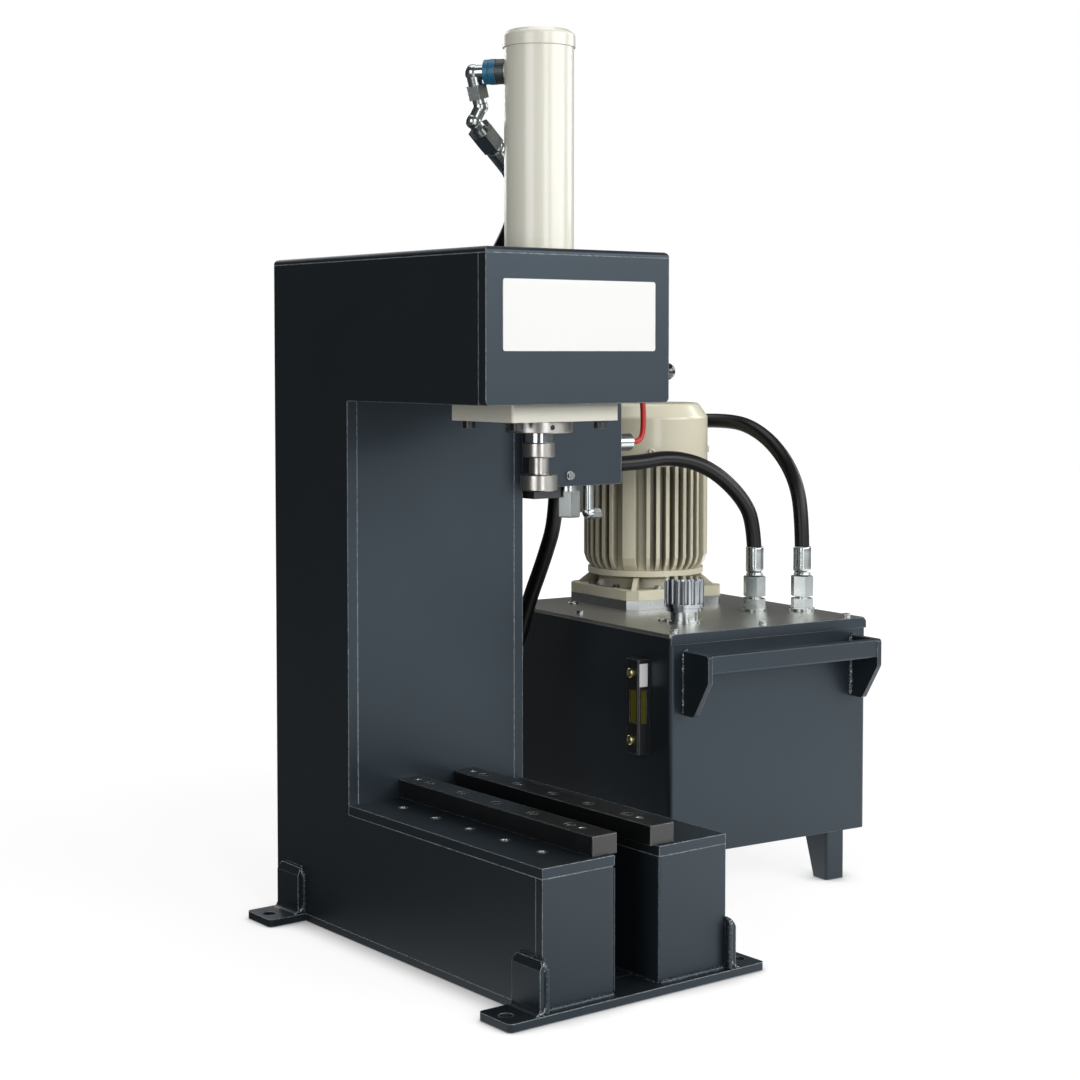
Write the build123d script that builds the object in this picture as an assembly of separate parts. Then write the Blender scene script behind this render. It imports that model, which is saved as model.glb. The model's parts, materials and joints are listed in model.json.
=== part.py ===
from build123d import *
from math import cos, pi, radians, sin, tan
import os

# Bench-height C-frame hydraulic press with its electric power unit.
#
# The press is a welded box frame with an open throat.  A double-acting cylinder stands through the
# head and drives a ram down on to two bed rails.  A hand lever shifts the spool of a valve on the
# right side of the frame.  The oil comes from a tank on four legs, with a finned motor on its lid
# and a pump below it, through two hoses, and a third hose feeds the top of the cylinder.
#
# Millimetres.  +X is the press's right side, where the tank stands, -Y is its front and +Z is up.
# The origin is on the floor, in the middle of the four anchor bolt holes.

# Welded frame
frame_width = 230.0
frame_height = 722.0
side_thickness = 12.0
shell_thickness = 10.0
top_thickness = 6.0
base_length = 484.0
base_height = 143.0
base_top_thickness = 10.0
column_depth = 149.0
head_underside = 570.0
head_floor_thickness = 20.0
base_overhang = 88.0
slot_width = 56.0
outer_corner_radius = 5.0
bend_radius = 12.0
barrel_hole_clearance = 0.5
pipe_hole_clearance = 2.0

# Feet and anchor holes
foot_length = 320.0
foot_width = 50.0
foot_thickness = 8.0
front_foot_inset = 15.0
rear_foot_inset = 35.0
anchor_spacing_x = 292.0
anchor_hole_radius = 7.0
gusset_thickness = 8.0
gusset_width = 44.0
gusset_height = 50.0
gusset_chamfer = 9.0
gusset_cove = 6.0

# Bed rails and the tapped holes beside them
rail_width = 30.0
rail_height = 20.0
rail_edge_chamfer = 0.6
rail_screw_radius = 3.0
rail_screw_clearance = 0.2
rail_thread_clearance = 0.1
rail_head_recess = 7.0
rail_head_clearance = 0.8
rail_screw_tip = 1.0
rail_gap = 42.0
rail_setback = 5.0
rail_end_clearance = 1.0
rail_first_screw = 54.0
rail_last_screw = 35.0
rail_screw_count = 5
rail_stop_offset = 20.0
rail_stop_radius = 3.4
base_hole_offset = 75.0
base_hole_radius = 4.25
base_hole_count = 5
base_first_hole = 52.0
hole_chamfer = 1.2

# Cylinder, on the ram axis
ram_setback = 67.0
barrel_radius = 35.0
barrel_bore_radius = 30.0
barrel_length = 373.0
cap_radius = 36.5
cap_height = 17.0
cap_dome = 4.0
cap_spigot = 10.0
cap_spigot_clearance = 0.1
mounting_plate_width = 134.0
mounting_plate_depth = 104.0
mounting_plate_thickness = 18.0
mounting_plate_shift = 7.0
mounting_screw_spacing_x = 106.0
mounting_screw_spacing_y = 80.0
mounting_screw_radius = 4.0
mounting_screw_length = 36.0
mounting_screw_clearance = 0.4
mounting_thread_clearance = 0.15
mounting_plate_chamfer = 1.5
plate_seat_clearance = 0.05
gland_radius = 34.0
gland_height = 12.0
gland_spigot = 36.0
gland_spigot_clearance = 0.1
spanner_hole_radius = 2.6
spanner_hole_depth = 6.0
spanner_hole_count = 4
rod_radius = 14.0
rod_clearance = 0.05
seal_section = 3.0
seal_length = 8.0
port_height_below_cap = 22.0
port_angle = 128.0
port_boss_radius = 12.0
port_boss_length = 16.0
port_bore_radius = 5.0

# Ram, raised as the photograph shows it
ram_stroke = 250.0
piston_height = 40.0
piston_top_clearance = 8.0
piston_clearance = 0.05
piston_ring_height = 6.0
piston_ring_depth = 3.0
rod_nose_height = 530.0
collar_radius = 16.0
collar_height = 15.0
neck_radius = 10.0
neck_height = 17.0
pad_radius = 19.0
pad_height = 17.0
pad_socket_depth = 10.0
thread_clearance = 0.1

# Valve on the right side of the frame
valve_front = 88.0
valve_width = 100.0
valve_depth = 52.0
valve_bottom = 478.0
valve_height = 112.0
port_block_drop = 21.0
port_notch_half = 15.0
port_notch_height = 27.0
guard_thickness = 3.0
guard_front = 75.0
guard_width = 120.0
guard_bottom = 471.0
guard_height = 114.0
guard_flange = 60.0
spool_offset = 80.0
spool_setback = 27.0
spool_radius = 8.0
spool_clearance = 0.04
spool_well = 30.0
spool_end_room = 8.0
spool_grooves = (14.0, 38.0, 60.0)
lever_arm = 20.0
lever_length = 140.0
lever_radius = 4.0
lever_tilt = 14.0
lever_rise = 10.0
lever_hub_radius = 7.0
lever_hub_width = 9.0
lever_pin_radius = 3.0
ear_thickness = 5.0
ear_clearance = 0.4
knob_radius = 9.5
tip_radius = 4.4
tip_arm_radius = 2.4
tip_clearance = 0.4

# Power unit, in its own frame: x along its front, y to its back
unit_x = 229.0
unit_y = -18.0
unit_turn = -5.0
tank_width = 285.0
tank_depth = 355.0
tank_bottom = 58.0
tank_top = 308.0
tank_wall = 3.0
tank_corner_radius = 5.0
lid_thickness = 4.0
lid_screw_inset = 16.0
lid_side_screw_inset = 149.0
leg_inset_x = 27.0
leg_inset_y = 5.0
leg_width = 27.0
leg_top_depth = 42.0
leg_foot_depth = 23.0
leg_wall = 3.0

# Handle on the front of the tank
handle_inset = 17.0
handle_plate = 6.0
handle_reach = 46.5
handle_height = 72.0
handle_top_drop = 19.0
handle_bar_height = 21.5
handle_bar_depth = 10.0
handle_foot = 20.0

# Level gauge on the left side of the tank
gauge_y = 52.5
gauge_width = 25.0
gauge_depth = 15.5
gauge_length = 107.0
gauge_middle = 222.5
gauge_bolt_spacing = 76.0
gauge_window_length = 37.0
gauge_window_width = 13.0
gauge_bolt_radius = 5.5
gauge_rim = 4.0
gauge_glass_inset = 1.5

# Filler with its breather cap
filler_x = 76.0
filler_y = 78.0
filler_radius = 17.7
filler_bore_radius = 13.0
filler_height = 18.0
filler_cap_radius = 23.4
filler_cap_height = 38.0
filler_cap_lift = 14.0
filler_cap_clearance = 0.4
flute_count = 18
flute_radius = 2.6

# Motor
motor_inset_x = 133.0
motor_inset_y = 93.0
adaptor_width = 143.0
adaptor_thickness = 12.0
adaptor_chamfer = 11.0
flange_thickness = 12.0
neck_rise = 15.0
neck_outer_radius = 58.0
skirt_radius = 72.0
skirt_height = 7.0
web_reach = 88.0
housing_radius = 65.0
housing_bore_radius = 59.0
fin_radius = 77.0
fin_length = 128.0
fin_count = 40
fin_thickness = 4.6
fin_taper = 16.0
wide_rib_width = 16.0
wide_rib_angle = 39.0
cover_radius = 77.0
cover_height = 76.0
cover_chamfer_radius = 12.0
cover_chamfer_height = 17.0
cover_wall = 2.0
cover_slot_count = 16
shaft_radius = 9.5
rotor_radius = 34.0
air_gap = 0.4
stack_length = 80.0
coil_overhang = 16.0
bearing_radius = 20.0
bearing_width = 12.0
bearing_clearance = 0.05
fan_radius = 62.0
fan_height = 22.0
fan_blades = 7
motor_bolt_count = 8
motor_bolt_circle = 68.5
terminal_width = 84.0
terminal_height = 68.0
terminal_depth = 44.0
terminal_bottom = 416.0

# Pump under the lid
bell_radius = 42.0
bell_length = 70.0
bell_wall = 6.0
coupling_radius = 22.0
coupling_length = 40.0
pump_width = 76.0
pump_height = 84.0
strainer_radius = 22.0
strainer_height = 36.0

# Hoses and their fittings
hose_radius = 9.0
hose_seat_gap = 0.3
ferrule_radius = 10.7
ferrule_length = 36.0
swivel_nut_af = 24.0
swivel_nut_length = 24.0
adaptor_hex_af = 24.0
adaptor_hex_length = 12.0
adaptor_seat_length = 9.0
washer_radius = 15.5
supply_port_inset = 72.0
supply_port_y = 120.0
return_port_inset = 21.0
return_port_y = 92.0
pipe_radius = 5.0
switch_radius = 10.0
switch_length = 53.0
cable_radius = 3.3
grommet_wall = 3.0
grommet_brim = 6.0
grommet_brim_thickness = 5.0
cable_clearance = 0.2

# Places worked out from the sizes above
anchor_spacing_y = base_length - front_foot_inset - rear_foot_inset
base_front = -anchor_spacing_y / 2 - front_foot_inset
rear = base_front + base_length
column_front = rear - column_depth
head_front = base_front + base_overhang
ram_y = head_front + ram_setback
half_width = frame_width / 2
inner_half = half_width - side_thickness
slot_half = slot_width / 2
base_plate_underside = base_height - base_top_thickness
head_plate_underside = frame_height - top_thickness
mounting_plate_bottom = head_underside - mounting_plate_thickness
barrel_bottom = mounting_plate_bottom
barrel_top = barrel_bottom + barrel_length
piston_top = barrel_top - cap_spigot - piston_top_clearance
piston_bottom = piston_top - piston_height
collar_bottom = rod_nose_height - collar_height
neck_bottom = collar_bottom - neck_height
pad_bottom = neck_bottom - pad_height
rail_top = base_height + rail_height
rail_centre = rail_gap / 2 + rail_width / 2
rail_front = base_front + rail_setback
rail_length = column_front - rail_end_clearance - rail_front
rail_screw_span = rail_length - rail_first_screw - rail_last_screw
rail_pitch = rail_screw_span / (rail_screw_count - 1)
rail_middle = rail_front + rail_first_screw + rail_screw_span / 2
valve_left = half_width + guard_thickness
valve_right = valve_left + valve_width
valve_top = valve_bottom + valve_height
spool_x = valve_left + spool_offset
spool_y = valve_front + spool_setback
lever_y = spool_y - lever_arm
lever_z = valve_top + lever_rise
lid_top = tank_top
lid_bottom = tank_top - lid_thickness
unit = Pos(unit_x, unit_y, 0) * Rot(0, 0, unit_turn)
adaptor_top = lid_top + adaptor_thickness
flange_top = adaptor_top + flange_thickness
skirt_bottom = flange_top + neck_rise
fin_bottom = skirt_bottom + skirt_height
fin_top = fin_bottom + fin_length
cover_top = fin_top + cover_height
rotor_middle = fin_bottom + fin_length / 2
motor_x = tank_width - motor_inset_x
motor_y = tank_depth - motor_inset_y
supply_port = (tank_width - supply_port_inset, supply_port_y)
return_port = (tank_width - return_port_inset, return_port_y)
head_middle = (head_underside + frame_height) / 2
switch_z = 517.0
switch_y = 100.0


nodes = {}
cap_screws = []
hex_screws = []
steel_pipes = []
seals = []


def keep(name, *solids):
    """File one node's solids under its name."""
    nodes[name] = list(solids)


def block(x0, x1, y0, y1, z0, z1):
    """A box between two values on each axis."""
    return Pos((x0 + x1) / 2, (y0 + y1) / 2, (z0 + z1) / 2) * Box(x1 - x0, y1 - y0, z1 - z0)


def bar(start, direction, radius, length):
    """A round bar from a point along a direction."""
    return extrude(Plane(origin=start, z_dir=direction) * Circle(radius), length)


def ring(start, direction, outer, inner, length):
    """A tube from a point along a direction."""
    section = Circle(outer) - Circle(inner)
    return extrude(Plane(origin=start, z_dir=direction) * section, length)


def hexagon(start, direction, across_flats, length, bore=0.0):
    """A hexagonal bar from a point along a direction, with an optional bore."""
    section = RegularPolygon(across_flats / 2, 6, major_radius=False)
    if bore:
        section = section - Circle(bore)
    return extrude(Plane(origin=start, z_dir=direction) * section, length)


def step(start, direction, distance):
    """The point at a distance from a start along a direction."""
    return Vector(*start) + Vector(*direction).normalized() * distance


def solid_of(*pieces):
    """Fuse pieces that are one part into one solid."""
    whole = pieces[0]
    for piece in pieces[1:]:
        whole = whole + piece
    return whole.solids()[0]


def placed(place, *pieces):
    """Move pieces from a sub-frame into the whole object's frame."""
    return [place * piece for piece in pieces]


def cap_screw(head, direction, radius, length):
    """Socket cap screw: the point is under the head, and the direction points to its tip."""
    up = Vector(*direction) * -1
    top = step(head, up, 2 * radius)
    screw = bar(head, up, 1.6 * radius, 2 * radius) + bar(head, direction, radius, length)
    socket = hexagon(top, direction, 1.6 * radius, radius)
    return (screw - socket).solids()[0]


def hex_screw(head, direction, radius, length):
    """Hexagon head screw with a washer: the point is under the washer."""
    up = Vector(*direction) * -1
    washer = 0.3 * radius
    screw = bar(head, up, 2.0 * radius, washer)
    screw = screw + hexagon(step(head, up, washer), up, 3.2 * radius, 1.3 * radius)
    return (screw + bar(head, direction, radius, length)).solids()[0]


def route(points, smallest, name):
    """Straight runs joined by tangent arcs, each arc as large as its two runs allow."""
    radii = []
    for before, corner, after in zip(points, points[1:], points[2:]):
        into = Vector(*corner) - Vector(*before)
        out = Vector(*after) - Vector(*corner)
        half_turn = radians(into.get_angle(out) / 2)
        radii.append(0.45 * min(into.length, out.length) / tan(half_turn))
    print(name, "arc radii", [round(radius) for radius in radii])
    if min(radii) < smallest:
        print(name, "has an arc tighter than", smallest)
    return FilletPolyline(*points, radius=radii)


def flexible(points, radius, smallest, name):
    """A hose, cable or pipe as one round bar along its route."""
    path = route(points, smallest, name)
    section = Plane(origin=path @ 0, z_dir=path % 0) * Circle(radius)
    swept = sweep(section, path=path).solids()[0]
    exact = path.length * pi * radius**2
    share = round(swept.volume / exact, 4)
    print(name, "length", round(path.length, 1), "volume over section times length", share)
    return swept


def steel_pipe(points, bend):
    """A steel pipe with the same bend at each of its corners."""
    path = FilletPolyline(*points, radius=bend)
    section = Plane(origin=path @ 0, z_dir=path % 0) * Circle(pipe_radius)
    return sweep(section, path=path).solids()[0]


def frame_parts():
    """The welded box frame: sides, head, column and base."""
    head_inner = head_front + side_thickness
    base_inner = base_front + shell_thickness
    outline = [
        (base_inner, foot_thickness),
        (rear, foot_thickness),
        (rear, head_plate_underside),
        (head_inner, head_plate_underside),
        (head_inner, head_underside),
        (column_front, head_underside),
        (column_front, base_plate_underside),
        (base_inner, base_plate_underside),
    ]
    side = extrude(Plane.YZ * make_face(Polyline(*outline, close=True)), side_thickness)
    pipe_hole = bar((inner_half, retract_y, retract_z), (1, 0, 0),
                    pipe_radius + pipe_hole_clearance, side_thickness)
    gland_hole = bar((inner_half, grommet_y, grommet_z), (1, 0, 0),
                     cable_radius + grommet_wall, side_thickness)
    keep("side_plate_left", Pos(-half_width, 0, 0) * side)
    keep("side_plate_right", (Pos(inner_half, 0, 0) * side - pipe_hole - gland_hole).solids()[0])

    front = block(-half_width, half_width, head_front, head_inner, head_underside, head_plate_underside)
    lower_corners = front.edges().filter_by(Axis.Y).group_by(Axis.Z)[0]
    front = fillet(lower_corners, outer_corner_radius)
    keep("head_front_plate", front.solids()[0])

    top = block(-half_width, half_width, head_front, rear, head_plate_underside, frame_height)
    top = fillet(top.edges().group_by(Axis.Z)[-1], min(outer_corner_radius, 0.8 * top_thickness))
    barrel_hole = bar((0, ram_y, head_plate_underside), (0, 0, 1),
                      barrel_radius + barrel_hole_clearance, top_thickness)
    hose_slot = extrude(Pos(hose_slot_x, hose_slot_y, head_plate_underside)
                        * SlotOverall(hose_slot_length, hose_slot_width, rotation=90), top_thickness)
    keep("head_top_plate", (top - barrel_hole - hose_slot).solids()[0])

    floor_rear = column_front + side_thickness
    floor = block(-inner_half, inner_half, head_inner, floor_rear,
                  head_underside, head_underside + head_floor_thickness)
    floor = floor - bar((0, ram_y, head_underside), (0, 0, 1),
                        barrel_radius + barrel_hole_clearance, head_floor_thickness)
    for x, y in mounting_screws():
        floor = floor - bar((x, y, head_underside), (0, 0, 1),
                            mounting_screw_radius + mounting_thread_clearance, head_floor_thickness)
    keep("head_floor_plate", floor.solids()[0])

    keep("column_front_plate", block(-inner_half, inner_half, column_front, floor_rear,
                                     foot_thickness, head_underside))
    back = block(-inner_half, inner_half, rear - side_thickness, rear, foot_thickness, head_plate_underside)
    opening = block(back_opening_x0, back_opening_x1, rear - side_thickness, rear,
                    back_opening_z0, back_opening_z1)
    opening = fillet(opening.edges().filter_by(Axis.Y), bend_radius)
    keep("column_back_plate", (back - opening).solids()[0])

    deck = block(-half_width, half_width, base_front, column_front, base_plate_underside, base_height)
    deck = deck - block(-slot_half, slot_half, base_front, column_front, base_plate_underside, base_height)
    for place in deck_hole_places():
        deck = deck - tapped_hole(place, base_hole_radius, base_top_thickness, base_height)
    for x, y in rail_screw_places():
        deck = deck - bar((x, y, base_plate_underside), (0, 0, 1),
                          rail_screw_radius + rail_thread_clearance, base_top_thickness)
    keep("base_top_plates", *deck.solids())

    shells = []
    for side_sign in (-1, 1):
        shell = base_shell()
        shells.append(shell if side_sign < 0 else mirror(shell, Plane.YZ))
    foot_line = anchor_spacing_y / 2 - foot_width / 2
    bottom = block(-half_width, half_width, -foot_line, foot_line, 0, foot_thickness)
    keep("base_shells", *shells, bottom)


def base_shell():
    """Front and slot wall of the left half of the base, folded from one plate."""
    outline = [
        (-half_width, base_front),
        (-slot_half, base_front),
        (-slot_half, column_front),
        (-slot_half - shell_thickness, column_front),
        (-slot_half - shell_thickness, base_front + shell_thickness),
        (-half_width, base_front + shell_thickness),
    ]
    sketch = make_face(Polyline(*outline, close=True))
    outer = sketch.vertices().sort_by_distance((-slot_half, base_front, 0))[0]
    sketch = fillet(outer, bend_radius)
    inner = sketch.vertices().sort_by_distance(
        (-slot_half - shell_thickness, base_front + shell_thickness, 0))[0]
    sketch = fillet(inner, bend_radius - shell_thickness)
    height = base_plate_underside - foot_thickness
    return extrude(Pos(0, 0, foot_thickness) * sketch, height).solids()[0]


def tapped_hole(place, radius, depth, top):
    """The cut for a hole with a small countersink, down from a level surface."""
    x, y = place
    hole = bar((x, y, top - depth), (0, 0, 1), radius, depth)
    mouth = Pos(x, y, top - hole_chamfer / 2) * Cone(radius, radius + hole_chamfer, hole_chamfer)
    return hole + mouth


def deck_hole_places():
    """Tapped fixture holes, one row down each half of the base."""
    first = base_front + base_first_hole
    return [(side * base_hole_offset, first + i * rail_pitch)
            for side in (-1, 1) for i in range(base_hole_count)]


def rail_screw_places():
    """Screws that hold each rail, evenly spaced about the rail's middle."""
    start = rail_middle - (rail_screw_count - 1) / 2 * rail_pitch
    return [(side * rail_centre, start + i * rail_pitch)
            for side in (-1, 1) for i in range(rail_screw_count)]


def rail_stop_places():
    """Tapped holes near both ends of each rail, for a stop."""
    reach = (rail_screw_count - 1) / 2 * rail_pitch + rail_stop_offset
    return [(side * rail_centre, rail_middle + end * reach) for side in (-1, 1) for end in (-1, 1)]


def feet_parts():
    """Two cross bars with anchor holes, and a gusset at each end of each bar."""
    bars = []
    gussets = []
    for end in (-1, 1):
        y = end * anchor_spacing_y / 2
        foot = block(-foot_length / 2, foot_length / 2, y - foot_width / 2, y + foot_width / 2,
                     0, foot_thickness)
        foot = fillet(foot.edges().filter_by(Axis.Z), outer_corner_radius)
        for side in (-1, 1):
            foot = foot - bar((side * anchor_spacing_x / 2, y, 0), (0, 0, 1),
                              anchor_hole_radius, foot_thickness)
            gussets.append(gusset(side, y))
        bars.append(foot.solids()[0])
    keep("feet", *bars, *gussets)


def gusset(side, y):
    """Ear plate with a concave foot and chamfered upper corners."""
    base = half_width
    outline = [
        (base, foot_thickness),
        (base + gusset_thickness + gusset_cove, foot_thickness),
        (base + gusset_thickness, foot_thickness + gusset_cove),
        (base + gusset_thickness, foot_thickness + gusset_height - gusset_thickness),
        (base + gusset_thickness / 2, foot_thickness + gusset_height),
        (base, foot_thickness + gusset_height),
    ]
    profile = make_face(Line(outline[0], outline[1])
                        + RadiusArc(outline[1], outline[2], gusset_cove)
                        + Polyline(*outline[2:], outline[0]))
    ear = extrude(Plane.XZ * profile, gusset_width / 2, both=True)
    upper = ear.edges().filter_by(Axis.X).group_by(Axis.Z)[-1]
    ear = chamfer(upper, gusset_thickness / 2)
    ear = Pos(0, y, 0) * ear
    return ear.solids()[0] if side > 0 else mirror(ear, Plane.YZ).solids()[0]


def bed_parts():
    """Two bed rails with counterbored screws and tapped stop holes."""
    recess_radius = 1.6 * rail_screw_radius + rail_head_clearance
    rails = []
    for side in (-1, 1):
        inner = side * rail_gap / 2
        outer = side * (rail_gap / 2 + rail_width)
        rail = block(min(inner, outer), max(inner, outer), rail_front, rail_front + rail_length,
                     base_height, rail_top)
        rail = chamfer(rail.edges(), rail_edge_chamfer)
        for x, y in rail_screw_places():
            if x * side > 0:
                rail = rail - bar((x, y, base_height), (0, 0, 1),
                                  rail_screw_radius + rail_screw_clearance, rail_height)
                rail = rail - bar((x, y, rail_top - rail_head_recess), (0, 0, 1),
                                  recess_radius, rail_head_recess)
        for x, y in rail_stop_places():
            if x * side > 0:
                rail = rail - tapped_hole((x, y), rail_stop_radius, rail_height, rail_top)
        rails.append(rail.solids()[0])
    keep("bed_rails", *rails)
    reach = rail_height - rail_head_recess + base_top_thickness - rail_screw_tip
    cap_screws.extend(cap_screw((x, y, rail_top - rail_head_recess), (0, 0, -1), rail_screw_radius, reach)
                      for x, y in rail_screw_places())


def mounting_screws():
    """Places of the four screws that hang the cylinder's plate under the head."""
    middle = ram_y + mounting_plate_shift
    return [(x * mounting_screw_spacing_x / 2, middle + y * mounting_screw_spacing_y / 2)
            for x in (-1, 1) for y in (-1, 1)]


def cylinder_parts():
    """Barrel, cap, mounting plate, gland and rod seal."""
    middle = ram_y + mounting_plate_shift
    plate = block(-mounting_plate_width / 2, mounting_plate_width / 2,
                  middle - mounting_plate_depth / 2, middle + mounting_plate_depth / 2,
                  mounting_plate_bottom, head_underside)
    plate = chamfer(plate.edges().filter_by(Axis.Z), mounting_plate_chamfer)
    plate = plate - bar((0, ram_y, mounting_plate_bottom), (0, 0, 1), barrel_radius + plate_seat_clearance,
                        mounting_plate_thickness)
    for x, y in mounting_screws():
        plate = plate - bar((x, y, mounting_plate_bottom), (0, 0, 1),
                            mounting_screw_radius + mounting_screw_clearance, mounting_plate_thickness)
    keep("cylinder_plate", plate.solids()[0])
    cap_screws.extend(cap_screw((x, y, mounting_plate_bottom), (0, 0, 1),
                                mounting_screw_radius, mounting_screw_length)
                      for x, y in mounting_screws())

    barrel = ring((0, ram_y, barrel_bottom), (0, 0, 1), barrel_radius, barrel_bore_radius, barrel_length)
    for boss_angle, boss_z in ((port_angle, top_port_z), (lower_port_angle, lower_port_z)):
        out = (cos(radians(boss_angle)), sin(radians(boss_angle)), 0)
        root = step((0, ram_y, boss_z), out, barrel_bore_radius + 2.0)
        boss = bar(root, out, port_boss_radius, barrel_radius - barrel_bore_radius - 2.0 + port_boss_length)
        passage = bar((0, ram_y, boss_z), out, port_bore_radius, barrel_radius + port_boss_length)
        barrel = barrel + boss - passage
    keep("cylinder_barrel", barrel.solids()[0])

    cap_profile = make_face(Polyline(
        (0, barrel_top - cap_spigot),
        (barrel_bore_radius - cap_spigot_clearance, barrel_top - cap_spigot),
        (barrel_bore_radius - cap_spigot_clearance, barrel_top),
        (cap_radius, barrel_top),
        (cap_radius, barrel_top + cap_height - cap_dome),
        (cap_radius - 1.5 * cap_dome, barrel_top + cap_height),
        (0, barrel_top + cap_height), close=True))
    shoulder = cap_profile.vertices().sort_by_distance(
        (cap_radius, barrel_top + cap_height - cap_dome, 0))[0]
    cap_profile = fillet(shoulder, cap_dome)
    keep("cylinder_cap", (Pos(0, ram_y, 0) * revolve(Plane.XZ * cap_profile, Axis.Z)).solids()[0])

    gland_bottom = barrel_bottom - gland_height
    gland = bar((0, ram_y, gland_bottom), (0, 0, 1), gland_radius, gland_height)
    gland = chamfer(gland.edges(), 0.8)
    gland = gland + bar((0, ram_y, gland_bottom), (0, 0, 1), barrel_bore_radius - gland_spigot_clearance,
                        gland_height + gland_spigot)
    gland = gland - bar((0, ram_y, gland_bottom), (0, 0, 1), rod_radius + rod_clearance,
                        gland_height + gland_spigot)
    gland = gland - bar((0, ram_y, gland_bottom), (0, 0, 1), rod_radius + seal_section, seal_length)
    for i in range(spanner_hole_count):
        turn = radians(spanner_first_angle + i * 360.0 / spanner_hole_count)
        out = (cos(turn), sin(turn), 0)
        mouth = step((0, ram_y, gland_bottom + gland_height / 2), out, gland_radius - spanner_hole_depth)
        gland = gland - bar(mouth, out, spanner_hole_radius, spanner_hole_depth)
    keep("gland_ring", gland.solids()[0])
    seals.append(ring((0, ram_y, gland_bottom), (0, 0, 1), rod_radius + seal_section - 0.1,
                      rod_radius + rod_clearance, seal_length).solids()[0])


def ram_parts():
    """Rod, piston with its rings, tool holder and pressing pad."""
    piston_radius = barrel_bore_radius - piston_clearance
    land = piston_height / 4
    piston = ring((0, ram_y, piston_bottom), (0, 0, 1), piston_radius, rod_radius - 4.0, piston_height)
    rings = []
    for i in (1, 2):
        z = piston_bottom + i * piston_height / 3 + (i - 1.5) * 2 - piston_ring_height / 2
        piston = piston - ring((0, ram_y, z), (0, 0, 1), piston_radius + 1.0,
                               piston_radius - piston_ring_depth, piston_ring_height)
        rings.append(ring((0, ram_y, z + 0.1), (0, 0, 1), piston_radius,
                          piston_radius - piston_ring_depth + 0.1, piston_ring_height - 0.2).solids()[0])
    keep("piston", chamfer_rim(piston, land / 8).solids()[0])
    keep("piston_rings", *rings)

    rod = bar((0, ram_y, rod_nose_height), (0, 0, 1), rod_radius, piston_bottom - rod_nose_height)
    rod = rod + bar((0, ram_y, piston_bottom), (0, 0, 1), rod_radius - 4.1, piston_height)
    rod = rod - bar((0, ram_y, rod_nose_height), (0, 0, 1), neck_radius + thread_clearance, 18.0)
    keep("ram_rod", rod.solids()[0])

    holder = bar((0, ram_y, collar_bottom), (0, 0, 1), collar_radius, collar_height)
    holder = chamfer(holder.edges(), 1.0)
    holder = holder + bar((0, ram_y, rod_nose_height), (0, 0, 1), neck_radius, 17.5)
    holder = holder + bar((0, ram_y, neck_bottom), (0, 0, 1), neck_radius, neck_height)
    holder = holder + bar((0, ram_y, neck_bottom - pad_socket_depth), (0, 0, 1),
                          neck_radius - 2.0, pad_socket_depth)
    keep("tool_holder", holder.solids()[0])

    pad = bar((0, ram_y, pad_bottom), (0, 0, 1), pad_radius, pad_height)
    pad = chamfer(pad.edges(), 1.2)
    pad = pad - bar((0, ram_y, neck_bottom - pad_socket_depth), (0, 0, 1),
                    neck_radius - 2.0 + thread_clearance, pad_socket_depth)
    keep("press_pad", pad.solids()[0])


def chamfer_rim(body, size):
    """Break the outer edges of the top and bottom of a turned part."""
    rims = body.edges().filter_by(GeomType.CIRCLE)
    largest = max(rim.radius for rim in rims)
    outer = rims.filter_by(lambda rim: rim.radius > largest - 0.01)
    ends = outer.sort_by(Axis.Z)
    return chamfer([ends[0], ends[-1]], size)


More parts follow.
